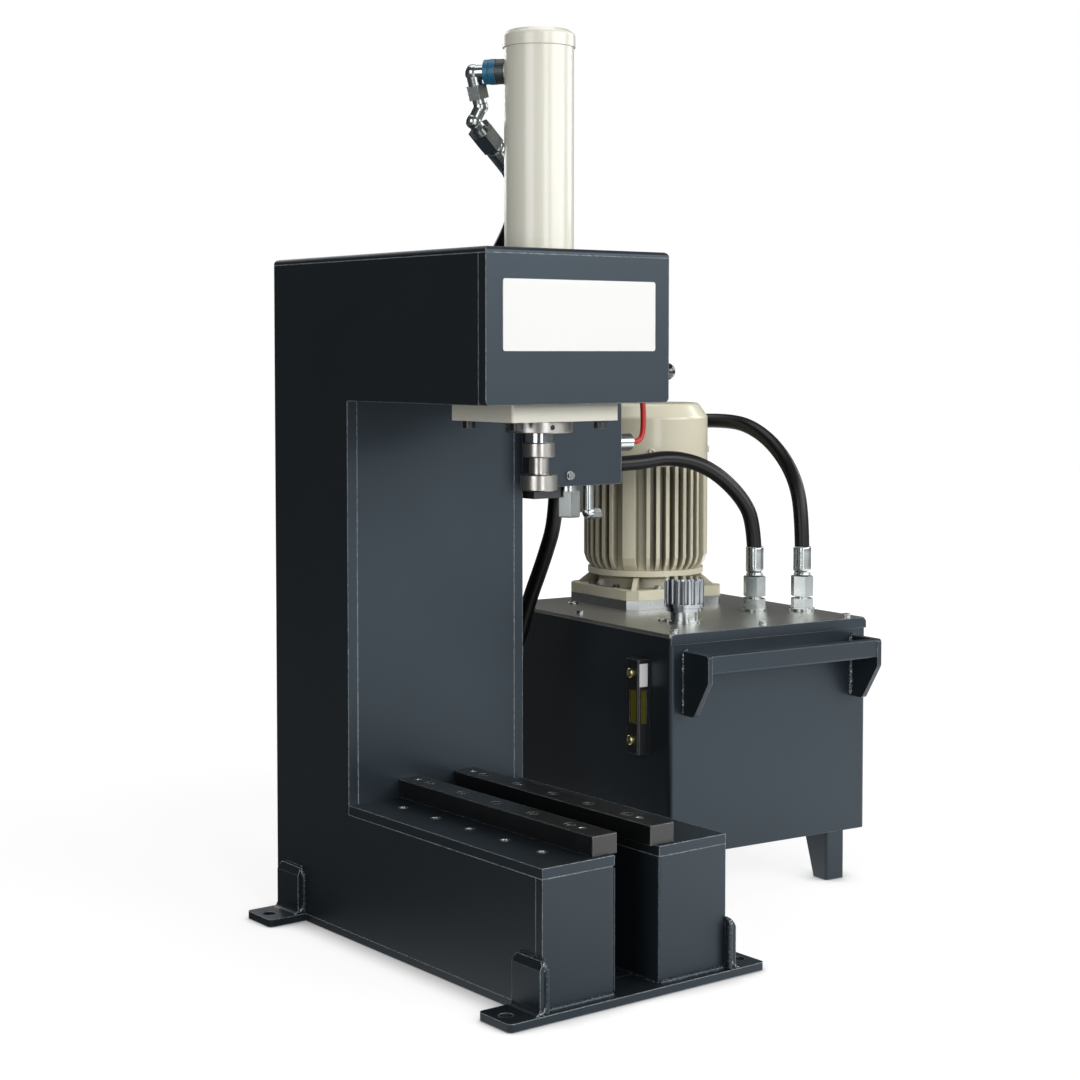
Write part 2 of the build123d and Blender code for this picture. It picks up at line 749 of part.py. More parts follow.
def valve_parts():
    """Guard, valve body with its spool, hand lever and knob, plugs and pressure switch."""
    guard_top = guard_bottom + guard_height
    guard = block(half_width, half_width + guard_width, guard_front, guard_front + guard_thickness,
                  guard_bottom, guard_top)
    guard = guard + block(half_width, half_width + guard_thickness, guard_front,
                          guard_front + guard_flange + 8.0, guard_bottom, guard_top)
    fold = guard.edges().filter_by(Axis.Z).sort_by_distance((half_width, guard_front, guard_bottom))[0]
    guard = fillet(fold, guard_thickness)
    screw_z = guard_bottom + 12.0
    screw_x = valve_left + 42.0
    guard = guard - bar((screw_x, guard_front, screw_z), (0, 1, 0), 2.7, guard_thickness)
    pipe_clearance = bar((half_width, retract_y, retract_z), (1, 0, 0),
                         pipe_radius + pipe_hole_clearance, guard_thickness)
    keep("valve_guard", (guard - pipe_clearance).solids()[0])
    spacer = valve_front - guard_front - guard_thickness
    hex_screws.append(hex_screw((screw_x, guard_front, screw_z), (0, 1, 0), 2.5,
                                guard_thickness + spacer + 8.0))

    body = block(valve_left, valve_right, valve_front, valve_front + valve_depth, valve_bottom, valve_top)
    body = chamfer(body.edges().filter_by(Axis.X), 4.0)
    body = body + bar((screw_x, guard_front + guard_thickness, screw_z), (0, 1, 0), 5.0, spacer + 4.0)
    ear_gap = lever_hub_width / 2 + ear_clearance
    for side in (-1, 1):
        x0 = spool_x + side * ear_gap
        x1 = spool_x + side * (ear_gap + ear_thickness)
        ear = block(min(x0, x1), max(x0, x1), lever_y - lever_hub_radius, lever_y + lever_hub_radius,
                    valve_top - 1.0, lever_z)
        ear = ear + bar((min(x0, x1), lever_y, lever_z), (1, 0, 0), lever_hub_radius, ear_thickness)
        body = body + ear
    body = body + block(valve_left + 6.0, relief_x - 16.0, plug_y - 6.0, plug_y + 24.0,
                        valve_bottom - port_block_drop, valve_bottom + 1.0)
    body = body - bar((spool_x, spool_y, valve_bottom + spool_well), (0, 0, 1),
                      spool_radius + spool_clearance, valve_height)
    body = body - block(supply_seat_x, valve_right,
                        supply_valve_y - port_notch_half, valve_front + valve_depth,
                        valve_bottom, valve_bottom + port_notch_height)
    body = body - bar((screw_x, guard_front, screw_z), (0, 1, 0), 2.6, guard_thickness + spacer + 9.0)
    pin_length = 2 * (ear_gap + ear_thickness)
    body = body + bar((spool_x - pin_length / 2, lever_y, lever_z), (1, 0, 0), lever_pin_radius, pin_length)
    keep("valve_body", body.solids()[0])

    spool_bottom = valve_bottom + spool_well + spool_end_room
    spool = bar((spool_x, spool_y, spool_bottom), (0, 0, 1), spool_radius, lever_z + 9.0 - spool_bottom)
    for groove in spool_grooves:
        spool = spool - ring((spool_x, spool_y, spool_bottom + groove), (0, 0, 1),
                             spool_radius + 1.0, spool_radius - 3.0, 10.0)
    gate = tip_radius + tip_clearance
    slot = block(spool_x - 10.0, spool_x + 10.0, spool_y - 10.0, spool_y + 5.0,
                 lever_z - gate, lever_z + gate)
    keep("valve_spool", (spool - slot).solids()[0])

    hub = bar((spool_x - lever_hub_width / 2, lever_y, lever_z), (1, 0, 0), lever_hub_radius, lever_hub_width)
    shank = bar((spool_x, lever_y - 4.0, lever_z), (0, -1, 0), lever_radius, lever_length - knob_radius - 4.0)
    arm = bar((spool_x, lever_y + 4.0, lever_z), (0, 1, 0), tip_arm_radius, lever_arm - 4.0)
    tip = Pos(spool_x, spool_y, lever_z) * Sphere(tip_radius)
    lever = hub + shank + arm + tip
    lever = lever - bar((spool_x - 10.0, lever_y, lever_z), (1, 0, 0), lever_pin_radius + 0.03, 20.0)
    keep("hand_lever", lever.solids()[0])
    knob = Pos(spool_x, lever_y - lever_length, lever_z) * Sphere(knob_radius)
    knob_neck = bar((spool_x, lever_y - lever_length + knob_radius - 2.0, lever_z), (0, 1, 0), 6.0, 4.0)
    socket = bar((spool_x, lever_y - lever_length, lever_z), (0, 1, 0), lever_radius + 0.05, 20.0)
    stub = bar((spool_x, lever_y - lever_length + knob_radius, lever_z), (0, 1, 0), lever_radius + 0.05, 10.0)
    keep("lever_knob", (knob + knob_neck - stub - socket).solids()[0])

    plug = hexagon((relief_x, plug_y, valve_bottom), (0, 0, -1), 27.0, 8.0)
    plug = plug + bar((relief_x, plug_y, valve_bottom - 8.0), (0, 0, -1), 12.0, 6.0)
    plug = plug + hexagon((relief_x, plug_y, valve_bottom - 14.0), (0, 0, -1), 24.0, 30.0)
    plug = chamfer(plug.faces().sort_by(Axis.Z)[0].edges(), 1.5)
    nipple = bar((nipple_x, plug_y, valve_bottom), (0, 0, -1), 6.5, 40.0)
    nipple = nipple + Pos(nipple_x, plug_y, valve_bottom - 40.0) * Sphere(7.3)
    nipple = nipple + hexagon((nipple_x, plug_y, valve_bottom - 42.0), (1, 0, 0), 11.0, 16.0)
    keep("valve_plugs", plug.solids()[0], nipple.solids()[0])

    switch = hexagon((valve_right, switch_y, switch_z), (1, 0, 0), 22.0, 10.0)
    switch = switch + bar((valve_right + 10.0, switch_y, switch_z), (1, 0, 0),
                          switch_radius, switch_length - 14.0)
    switch = switch + Plane(origin=(valve_right + switch_length - 2.0, switch_y, switch_z), z_dir=(1, 0, 0)) \
        * Cone(switch_radius, cable_radius + 2.5, 4.0)
    keep("pressure_switch", switch.solids()[0])
    grommet = ring((half_width, grommet_y, grommet_z), (1, 0, 0), cable_radius + grommet_brim,
                   cable_radius + cable_clearance, grommet_brim_thickness)
    grommet = grommet + ring((inner_half, grommet_y, grommet_z), (1, 0, 0), cable_radius + grommet_wall - 0.1,
                             cable_radius + cable_clearance, side_thickness)
    keep("cable_grommet", grommet.solids()[0])


def unit_point(x, y, z):
    """A point of the power unit in the whole object's frame."""
    spot = unit * Pos(x, y, z)
    return tuple(spot.position)


def tank_parts():
    """Tank, lid, legs, handle, level gauge and filler."""
    shell = block(0, tank_width, 0, tank_depth, tank_bottom, lid_bottom)
    shell = fillet(shell.edges().filter_by(Axis.Z), tank_corner_radius)
    cavity = block(tank_wall, tank_width - tank_wall, tank_wall, tank_depth - tank_wall,
                   tank_bottom + tank_wall, lid_bottom)
    cavity = fillet(cavity.edges().filter_by(Axis.Z), tank_corner_radius - tank_wall + 0.5)
    shell = shell - cavity
    rim = 22.0
    edge = tank_wall - 1.0
    flange = block(edge, tank_width - edge, edge, tank_depth - edge, lid_bottom - tank_wall, lid_bottom)
    flange = flange - block(rim, tank_width - rim, rim, tank_depth - rim, lid_bottom - tank_wall, lid_bottom)
    shell = shell + flange
    for z in gauge_bolt_heights():
        shell = shell - bar((0, gauge_y, z), (1, 0, 0), 4.2, tank_wall)
    for x, y in (supply_port, return_port):
        shell = shell - bar((x, y, lid_bottom - tank_wall), (0, 0, 1), 12.0, tank_wall)
    for x, y in lid_screw_places():
        shell = shell - bar((x, y, lid_bottom - tank_wall), (0, 0, 1), 2.6, tank_wall)
    keep("tank_shell", *placed(unit, shell.solids()[0]))

    lid = block(0, tank_width, 0, tank_depth, lid_bottom, lid_top)
    lid = fillet(lid.edges().filter_by(Axis.Z), tank_corner_radius)
    lid = lid - bar((motor_x, motor_y, lid_bottom), (0, 0, 1), bell_radius + 0.4, lid_thickness)
    lid = lid - bar((filler_x, filler_y, lid_bottom), (0, 0, 1), filler_bore_radius, lid_thickness)
    for x, y in (supply_port, return_port):
        lid = lid - bar((x, y, lid_bottom), (0, 0, 1), 8.2, lid_thickness)
    for x, y in lid_screw_places():
        lid = lid - bar((x, y, lid_bottom), (0, 0, 1), 2.7, lid_thickness)
    keep("tank_lid", *placed(unit, lid.solids()[0]))
    hex_screws.extend(placed(unit, *[hex_screw((x, y, lid_top), (0, 0, -1), 2.5, 12.0)
                                     for x, y in lid_screw_places()]))

    legs = []
    for right in (False, True):
        for back in (False, True):
            legs.append(tank_leg(right, back))
    keep("tank_legs", *placed(unit, *legs))
    keep("tank_handle", *placed(unit, handle()))
    gauge_parts()
    filler_parts()


def lid_screw_places():
    """Lid screws: the corners and the middle of each side."""
    near, far_x, far_y = lid_screw_inset, tank_width - lid_screw_inset, tank_depth - lid_screw_inset
    middle_y = tank_depth - lid_side_screw_inset
    return [(near, near), (far_x, near), (near, far_y), (far_x, far_y),
            (near, middle_y), (far_x, middle_y), (tank_width / 2, near), (tank_width / 2, far_y)]


def tank_leg(right, back):
    """Channel leg folded from sheet, tapered to its foot."""
    outline = [(0, tank_bottom), (leg_top_depth, tank_bottom), (leg_foot_depth, 0), (0, 0)]
    leg = extrude(Plane.YZ * make_face(Polyline(*outline, close=True)), leg_width)
    hollow = block(leg_wall, leg_width - leg_wall, leg_wall, leg_top_depth + 1.0, -1.0, tank_bottom + 1.0)
    front_edges = leg.edges().filter_by(Axis.Z).group_by(Axis.Y)[0]
    leg = fillet(front_edges, leg_wall) - hollow
    leg = Pos(leg_inset_x, leg_inset_y, 0) * leg
    if right:
        leg = Pos(tank_width, 0, 0) * mirror(leg, Plane.YZ)
    if back:
        leg = Pos(0, tank_depth, 0) * mirror(leg, Plane.XZ)
    return leg.solids()[0]


def handle():
    """Two bent plates and a flat bar, welded to the front of the tank."""
    top = tank_top - handle_top_drop
    bottom = top - handle_height
    shoulder = top - 31.0
    outline = [(0, top), (-handle_reach, top), (-handle_reach, shoulder),
               (-handle_foot, bottom), (0, bottom)]
    sketch = make_face(Polyline(*outline, close=True))
    for y, z, radius in ((-handle_reach, top, 4.0), (-handle_foot, bottom, 6.0),
                         (-handle_reach, shoulder, 8.0)):
        sketch = fillet(sketch.vertices().sort_by_distance((y, z, 0))[0], radius)
    bracket = extrude(Plane.YZ * sketch, handle_plate)
    left = Pos(handle_inset, 0, 0) * bracket
    right = Pos(tank_width - handle_inset - handle_plate, 0, 0) * bracket
    grip = block(handle_inset + handle_plate / 2, tank_width - handle_inset - handle_plate / 2,
                 -handle_reach + 1.0, -handle_reach + 1.0 + handle_bar_depth, top - handle_bar_height, top)
    grip = fillet(grip.edges().filter_by(Axis.X), 2.5)
    return solid_of(left, right, grip)


def gauge_bolt_heights():
    """Heights of the two bolts of the level gauge."""
    return [gauge_middle + side * gauge_bolt_spacing / 2 for side in (-1, 1)]


def gauge_parts():
    """Level gauge: case, window and two hollow bolts."""
    case = block(-gauge_depth, 0, gauge_y - gauge_width / 2, gauge_y + gauge_width / 2,
                 gauge_middle - gauge_length / 2, gauge_middle + gauge_length / 2)
    case = chamfer(case.edges().filter_by(Axis.Z).group_by(Axis.X)[0], 2.0)
    low = gauge_middle - gauge_window_length / 2
    high = gauge_middle + gauge_window_length / 2
    side = gauge_y - gauge_width / 2
    near = side + gauge_rim
    far = near + gauge_window_width
    front_cut = block(-gauge_depth - 1.0, -gauge_depth + 5.0, near, far, low, high)
    side_cut = block(-gauge_depth + gauge_rim, -gauge_rim, side - 1.0, side + 6.0, low, high)
    case = case - front_cut - side_cut
    for z in gauge_bolt_heights():
        case = case - bar((-gauge_depth, gauge_y, z), (1, 0, 0), 4.3, gauge_depth)
    keep("gauge_case", *placed(unit, case.solids()[0]))
    front_glass = block(-gauge_depth + gauge_glass_inset, -gauge_depth + 5.0, near, far, low, high)
    side_glass = block(-gauge_depth + gauge_rim, -gauge_rim, side + gauge_glass_inset, side + 6.0, low, high)
    keep("gauge_glass", *placed(unit, solid_of(front_glass, side_glass)))
    bolts = []
    for z in gauge_bolt_heights():
        bolt = bar((-gauge_depth, gauge_y, z), (-1, 0, 0), gauge_bolt_radius, 4.5)
        bolt = chamfer(bolt.faces().sort_by(Axis.X)[0].edges(), 1.0)
        bolt = bolt + bar((-gauge_depth, gauge_y, z), (1, 0, 0), 4.0, gauge_depth + tank_wall + 7.0)
        bolt = bolt - hexagon((-gauge_depth - 4.5, gauge_y, z), (1, 0, 0), 5.0, 3.5)
        bolts.append(bolt.solids()[0])
    keep("gauge_bolts", *placed(unit, *bolts))


def filler_parts():
    """Filler neck on the lid and its fluted breather cap."""
    neck = ring((filler_x, filler_y, lid_top), (0, 0, 1), filler_radius + 2.5, filler_bore_radius, 3.0)
    neck = neck + ring((filler_x, filler_y, lid_top), (0, 0, 1), filler_radius, filler_bore_radius,
                       filler_height)
    keep("filler_neck", *placed(unit, neck.solids()[0]))
    bottom = lid_top + filler_cap_lift
    cap = bar((filler_x, filler_y, bottom), (0, 0, 1), filler_cap_radius, filler_cap_height)
    cap = chamfer(cap.edges(), 2.0)
    cap = cap - bar((filler_x, filler_y, bottom), (0, 0, 1), filler_radius + filler_cap_clearance,
                    filler_height - filler_cap_lift + 1.0)
    cap = cap - ring((filler_x, filler_y, bottom), (0, 0, 1), filler_cap_radius + 1.0,
                     filler_cap_radius - 2.0, 5.0)
    for i in range(flute_count):
        turn = radians(i * 360.0 / flute_count)
        x = filler_x + filler_cap_radius * cos(turn)
        y = filler_y + filler_cap_radius * sin(turn)
        cap = cap - bar((x, y, bottom + 9.0), (0, 0, 1), flute_radius, filler_cap_height)
    spigot = bar((filler_x, filler_y, lid_top + 4.0), (0, 0, 1),
                 filler_bore_radius - filler_cap_clearance, filler_height - 1.0)
    cap = cap + spigot
    keep("filler_cap", *placed(unit, cap.solids()[0]))


def chamfered_square(width, cut):
    """A square with its four corners cut off."""
    return chamfer(Rectangle(width, width).vertices(), cut)


def motor_parts():
    """Motor on its aluminium bell housing, with rotor, stator, bearings, fan and terminal box."""
    axis = Pos(motor_x, motor_y, 0)
    up = (0, 0, 1)
    square = chamfered_square(adaptor_width, adaptor_chamfer)
    bell_bottom = lid_bottom - bell_length
    bell = extrude(Pos(0, 0, lid_top) * square, adaptor_thickness)
    bell = bell + bar((0, 0, bell_bottom), up, bell_radius, lid_top - bell_bottom + 1.0)
    bell = bell - bar((0, 0, bell_bottom + bell_wall), up, bell_radius - bell_wall, adaptor_top - bell_bottom)
    bell = bell - bar((0, 0, bell_bottom), up, shaft_radius + 2.0, bell_wall)
    for side in (-1, 1):
        bell = bell - block(side * bell_radius - 12.0, side * bell_radius + 12.0, -12.0, 12.0,
                            bell_bottom + 18.0, bell_bottom + 52.0)
    keep("bell_housing", *placed(unit * axis, bell.solids()[0]))

    shield = extrude(Pos(0, 0, adaptor_top) * square, flange_thickness)
    neck = make_face(Polyline(
        (0, flange_top), (neck_outer_radius + 3.0, flange_top), (neck_outer_radius, flange_top + 7.0),
        (neck_outer_radius, skirt_bottom - 4.0), (skirt_radius, skirt_bottom),
        (skirt_radius, fin_bottom), (0, fin_bottom), close=True))
    shield = shield + revolve(Plane.XZ * neck, Axis.Z)
    for i in range(4):
        web = make_face(Polyline((0, flange_top - 1.0), (web_reach, flange_top - 1.0),
                                 (skirt_radius - 4.0, skirt_bottom), (0, skirt_bottom), close=True))
        web = extrude(Plane.XZ * web, 3.0, both=True)
        shield = shield + Rot(0, 0, 45.0 + 90.0 * i) * web
    shield = shield - bar((0, 0, adaptor_top), up, bearing_radius + 0.02, bearing_width + 6.0)
    shield = shield - bar((0, 0, adaptor_top), up, housing_bore_radius - 16.0, flange_thickness - 6.0)
    shield = shield - bar((0, 0, adaptor_top), up, shaft_radius + 2.0, 60.0)
    shield = shield - bar((0, 0, adaptor_top + bearing_width + 12.0), up, housing_bore_radius - 6.0, 60.0)
    for x, y in motor_bolt_places():
        shield = shield - bar((x, y, adaptor_top), up, 2.7, 60.0)
    keep("motor_flange", *placed(unit * axis, shield.solids()[0]))
    hex_screws.extend(placed(unit * axis, *[hex_screw((x, y, flange_top), (0, 0, -1), 2.5, 11.0)
                                            for x, y in motor_bolt_places()]))

    housing = finned_housing()
    keep("motor_housing", *placed(unit * axis, housing))

    stack_bottom = rotor_middle - stack_length / 2
    stator = ring((0, 0, stack_bottom), up, housing_bore_radius - 0.05, rotor_radius + air_gap, stack_length)
    coils = ring((0, 0, stack_bottom - coil_overhang), up, housing_bore_radius - 8.0, rotor_radius + 4.0,
                 stack_length + 2 * coil_overhang)
    keep("stator", *placed(unit * axis, solid_of(stator, coils)))

    lower_bearing = adaptor_top + 6.0
    upper_bearing = fin_top - bearing_width
    bearings = [ring((0, 0, z), up, bearing_radius, shaft_radius + bearing_clearance, bearing_width)
                for z in (lower_bearing, upper_bearing)]
    keep("motor_bearings", *placed(unit * axis, *bearings))

    shaft_top = fin_top + 8.0 + fan_height
    shaft_bottom = lid_bottom - 14.0
    shaft = bar((0, 0, shaft_bottom), up, shaft_radius, shaft_top - shaft_bottom)
    shaft = shaft + bar((0, 0, stack_bottom), up, rotor_radius, stack_length)
    keep("rotor", *placed(unit * axis, shaft.solids()[0]))
    keep("cooling_fan", *placed(unit * axis, fan()))

    hub_bottom = lid_bottom - coupling_length
    hub = ring((0, 0, hub_bottom), up, coupling_radius, shaft_radius + 0.05, coupling_length)
    hub_middle = hub_bottom + coupling_length / 2
    hub = hub - block(-30.0, 30.0, -1.0, 1.0, hub_middle - 1.0, hub_middle)
    keep("shaft_coupling", *placed(unit * axis, hub.solids()[0]))

    keep("fan_cover", *placed(unit * axis, fan_cover()))
    keep("terminal_box", *placed(unit * axis, terminal_box()))
    pump_parts(axis, bell_bottom)


def motor_bolt_places():
    """Bolts round the motor's neck."""
    pitch = 360.0 / motor_bolt_count
    angles = [radians((i + 0.5) * pitch) for i in range(motor_bolt_count)]
    return [(motor_bolt_circle * cos(angle), motor_bolt_circle * sin(angle)) for angle in angles]


def finned_housing():
    """Cast housing: a tube with radial fins, tapered at their lower ends, and four wide ribs."""
    up = (0, 0, 1)
    profile = make_face(Polyline(
        (housing_radius - 2.0, fin_bottom), (housing_radius + 3.0, fin_bottom),
        (fin_radius - 3.0, fin_bottom + 0.45 * fin_taper), (fin_radius, fin_bottom + fin_taper),
        (fin_radius, fin_top), (housing_radius - 2.0, fin_top), close=True))
    envelope = revolve(Plane.XZ * profile, Axis.Z)
    pitch = 360.0 / fin_count
    blades = []
    for i in range(fin_count):
        angle = wide_rib_angle + i * pitch
        wide = i % (fin_count // 4) == 0
        width = wide_rib_width if wide else fin_thickness
        neighbour = i % (fin_count // 4) in (1, fin_count // 4 - 1)
        if neighbour:
            continue
        blade = block(housing_radius - 4.0, fin_radius + 1.0, -width / 2, width / 2, fin_bottom, fin_top)
        blades.append(Rot(0, 0, angle) * blade)
    fins = Part() + blades
    fins = fins & envelope
    tube = ring((0, 0, fin_bottom), up, housing_radius, housing_bore_radius, fin_length)
    end = ring((0, 0, fin_top - 5.0), up, housing_bore_radius + 1.0, bearing_radius + 0.02, 5.0)
    seat = ring((0, 0, fin_top - bearing_width - 4.0), up, bearing_radius + 5.0, bearing_radius + 0.02,
                bearing_width + 4.0)
    return (tube + fins + end + seat).solids()[0]


def fan():
    """Fan on the tail of the shaft: a hub and straight radial blades."""
    bottom = fin_top + 8.0
    wheel = ring((0, 0, bottom), (0, 0, 1), 20.0, shaft_radius + 0.05, fan_height)
    wheel = wheel + ring((0, 0, bottom), (0, 0, 1), fan_radius, shaft_radius + 0.05, 2.5)
    for i in range(fan_blades):
        blade = block(18.0, fan_radius, -1.2, 1.2, bottom, bottom + fan_height)
        wheel = wheel + Rot(0, 0, i * 360.0 / fan_blades) * blade
    return wheel.solids()[0]


def fan_cover():
    """Pressed steel cover over the fan, with a ring of air slots in its top."""
    inner = cover_radius - cover_wall
    profile = make_face(Polyline(
        (inner, fin_top), (cover_radius, fin_top), (cover_radius, cover_top - cover_chamfer_height),
        (cover_radius - cover_chamfer_radius, cover_top), (0, cover_top), (0, cover_top - cover_wall),
        (cover_radius - cover_chamfer_radius - cover_wall / 2, cover_top - cover_wall),
        (inner, cover_top - cover_chamfer_height), close=True))
    for r, z, radius in ((cover_radius, cover_top - cover_chamfer_height, 7.0),
                         (cover_radius - cover_chamfer_radius, cover_top, 7.0)):
        profile = fillet(profile.vertices().sort_by_distance((r, z, 0))[0], radius)
    cover = revolve(Plane.XZ * profile, Axis.Z)
    for i in range(cover_slot_count):
        slot = extrude(Pos(41.0, 0, cover_top - 2 * cover_wall) * SlotOverall(36.0, 5.0), 3 * cover_wall)
        cover = cover - Rot(0, 0, i * 360.0 / cover_slot_count) * slot
    step_ring = ring((0, 0, fin_top), (0, 0, 1), inner + 0.5, housing_radius - 1.0, cover_wall)
    return (cover + step_ring).solids()[0]


def terminal_box():
    """Terminal box on the back of the housing, with a lid and a blanked cable entry."""
    front = fin_radius
    box = block(-terminal_width / 2, terminal_width / 2, housing_radius + 3.0, front + terminal_depth,
                terminal_bottom, terminal_bottom + terminal_height)
    box = fillet(box.edges().filter_by(Axis.Y), 6.0)
    rim = block(-terminal_width / 2 - 1.5, terminal_width / 2 + 1.5, front + terminal_depth - 14.0,
                front + terminal_depth - 11.0, terminal_bottom - 1.5, terminal_bottom + terminal_height + 1.5)
    rim = fillet(rim.edges().filter_by(Axis.Y), 6.0)
    plug = hexagon((terminal_width / 2 - 1.0, front + terminal_depth / 2 - 4.0, terminal_bottom + 24.0),
                   (1, 0, 0), 22.0, 9.0)
    fins = bar((0, 0, fin_bottom - 5.0), (0, 0, 1), fin_radius + 0.3, fin_length + cover_height)
    return ((box + rim + plug) - fins).solids()[0]


def pump_parts(axis, bell_bottom):
    """Gear pump under the bell housing, its strainer, and the two pipes to the lid ports."""
    up = (0, 0, 1)
    half = pump_width / 2
    pump_bottom = bell_bottom - pump_height
    pump = block(-half, half, -half, half, pump_bottom, bell_bottom)
    pump = fillet(pump.edges().filter_by(Axis.Z), 10.0)
    pump = pump + bar((0, 0, bell_bottom), up, shaft_radius, bell_length - coupling_length - 1.0)
    keep("gear_pump", *placed(unit * axis, pump.solids()[0]))
    strainer_z = pump_bottom - 14.0
    strainer = bar((0, 0, strainer_z), up, 8.0, 14.0)
    strainer = strainer + bar((0, 0, strainer_z - strainer_height), up, strainer_radius, strainer_height)
    keep("suction_strainer", *placed(unit * axis, strainer.solids()[0]))

    port = Vector(*supply_port, 0) - Vector(motor_x, motor_y, 0)
    pump_mid = bell_bottom - pump_height / 2
    points = [(half, -20.0, pump_mid), (port.X, -20.0, pump_mid), (port.X, port.Y, pump_mid),
              (port.X, port.Y, lid_bottom - 6.0)]
    pressure = steel_pipe(points, 20.0)
    drop_bottom = tank_bottom + 40.0
    drop = bar((return_port[0] - motor_x, return_port[1] - motor_y, drop_bottom), up, pipe_radius + 1.5,
               lid_bottom - 6.0 - drop_bottom)
    steel_pipes.extend(placed(unit * axis, pressure, drop.solids()[0]))


def hose_end(tip, direction):
    """Ferrule and swivel nut of a hose: the tip is the nut's sealing face, the direction runs to the hose."""
    nut = hexagon(tip, direction, swivel_nut_af, swivel_nut_length, 4.0)
    collar = step(tip, direction, swivel_nut_length)
    nut = chamfer(nut.faces().sort_by_distance(tip)[0].outer_wire().edges(), 0.8)
    ferrule = ring(collar, direction, ferrule_radius, 4.0, ferrule_length)
    hollow = bar(step(collar, direction, 6.0), direction, hose_radius + hose_seat_gap, ferrule_length)
    return nut.solids()[0], (ferrule - hollow).solids()[0]


def port_adaptor(seat, direction):
    """Straight adaptor: washer, hexagon, and a cone seat for the swivel nut."""
    washer = bar(seat, direction, washer_radius, 3.0)
    hex_start = step(seat, direction, 3.0)
    body = hexagon(hex_start, direction, adaptor_hex_af, adaptor_hex_length)
    collar = bar(step(hex_start, direction, adaptor_hex_length), direction, 8.5,
                 adaptor_seat_length - adaptor_hex_length / 2)
    spigot = bar(seat, Vector(*direction) * -1, 8.0, lid_thickness + 6.0)
    return solid_of(washer, body, collar, spigot)


def bent_fitting(corners, radius):
    """Forged elbow: round legs from corner to corner, with a ball at each bend."""
    body = None
    for start, end in zip(corners, corners[1:]):
        run = Vector(*end) - Vector(*start)
        leg = bar(start, run, radius, run.length)
        body = leg if body is None else body + Pos(*start) * Sphere(1.12 * radius) + leg
    return body.solids()[0]


def hose_parts():
    """Three hoses with their ends, the steel pipes, and the switch cable."""
    nuts, ferrules, fittings = [], [], []
    adaptor_height = 3.0 + adaptor_hex_length + adaptor_seat_length - adaptor_hex_length / 2
    up = (0, 0, 1)

    for port in (supply_port, return_port):
        seat = unit_point(*port, lid_top)
        fittings.append(port_adaptor(seat, up))
        nut, ferrule = hose_end(step(seat, up, adaptor_height), up)
        nuts.append(nut)
        ferrules.append(ferrule)

    rightwards = (1, 0, 0)
    valve_seat = (supply_seat_x, supply_valve_y, supply_valve_z)
    seat_length = 11.0
    fittings.append(solid_of(hexagon(valve_seat, rightwards, 22.0, 8.0),
                             bar(valve_seat, rightwards, 8.0, seat_length)))
    nut, ferrule = hose_end(step(valve_seat, rightwards, seat_length), rightwards)
    nuts.append(nut)
    ferrules.append(ferrule)

    port_out = (cos(radians(port_angle)), sin(radians(port_angle)), 0)
    boss_face = step((0, ram_y, top_port_z), port_out, barrel_radius + port_boss_length)
    seal_width = 5.0
    seals.append(ring(boss_face, port_out, port_boss_radius + 0.5, port_bore_radius, seal_width).solids()[0])
    first_corner = step(boss_face, port_out, seal_width + elbow_leg)
    first_end = step(first_corner, first_elbow_out, elbow_leg)
    fittings.append(bent_fitting([step(boss_face, port_out, seal_width), first_corner, first_end], 7.5))
    nuts.append(hexagon(first_end, first_elbow_out, 20.0, coupling_nut_length, 4.0).solids()[0])
    second_start = step(first_end, first_elbow_out, coupling_nut_length)
    second_bend = step(second_start, first_elbow_out, 8.0)
    second_corner = step(second_bend, second_elbow_in, 1.3 * elbow_leg)
    second_end = step(second_corner, cylinder_hose_out, elbow_leg)
    fittings.append(bent_fitting([second_start, second_bend, second_corner, second_end], 7.0))
    nut, ferrule = hose_end(second_end, cylinder_hose_out)
    nuts.append(nut)
    ferrules.append(ferrule)
    top_end = step(second_end, cylinder_hose_out, swivel_nut_length + 6.0)

    valve_rear = valve_front + valve_depth
    rear_corner = (cylinder_valve_x, valve_rear + elbow_leg + 5.0, cylinder_valve_z)
    rear_end = step(rear_corner, (0, 0, -1), elbow_leg)
    rear_port = (cylinder_valve_x, valve_rear, cylinder_valve_z)
    fittings.append(bent_fitting([rear_port, rear_corner, rear_end], 7.5))
    nut, ferrule = hose_end(rear_end, (0, 0, -1))
    nuts.append(nut)
    ferrules.append(ferrule)
    bottom_end = step(rear_end, (0, 0, -1), swivel_nut_length + 6.0)
    keep("port_fittings", *fittings)
    keep("swivel_nuts", *nuts)
    keep("hose_ferrules", *ferrules)

    hose_start = adaptor_height + swivel_nut_length + 6.0
    supply_start = unit_point(*supply_port, lid_top + hose_start)
    supply_end = step(valve_seat, rightwards, seat_length + swivel_nut_length + 6.0)
    supply_route = [supply_start, step(supply_start, up, first_run), *supply_points, supply_end]
    keep("supply_hose", flexible(supply_route, hose_radius, 70, "supply_hose"))
    return_start = unit_point(*return_port, lid_top + hose_start)
    return_route = [return_start, step(return_start, up, first_run), *return_points]
    keep("return_hose", flexible(return_route, hose_radius, 70, "return_hose"))
    cylinder_route = [top_end, step(top_end, cylinder_hose_out, 50.0), *cylinder_points,
                      step(bottom_end, (0, 0, -1), first_run), bottom_end]
    keep("cylinder_hose", flexible(cylinder_route, hose_radius, 60, "cylinder_hose"))
    steel_pipes.append(steel_pipe(return_pipe_points, 28.0))
    port_mouth = step((0, ram_y, lower_port_z), lower_port_direction(),
                      barrel_radius + port_boss_length + 0.2)
    steel_pipes.append(steel_pipe([port_mouth, *retract_points], 20.0))
    cable_start = (valve_right + switch_length, switch_y, switch_z)
    keep("switch_cable", flexible([cable_start, *cable_points], cable_radius, 11, "switch_cable"))


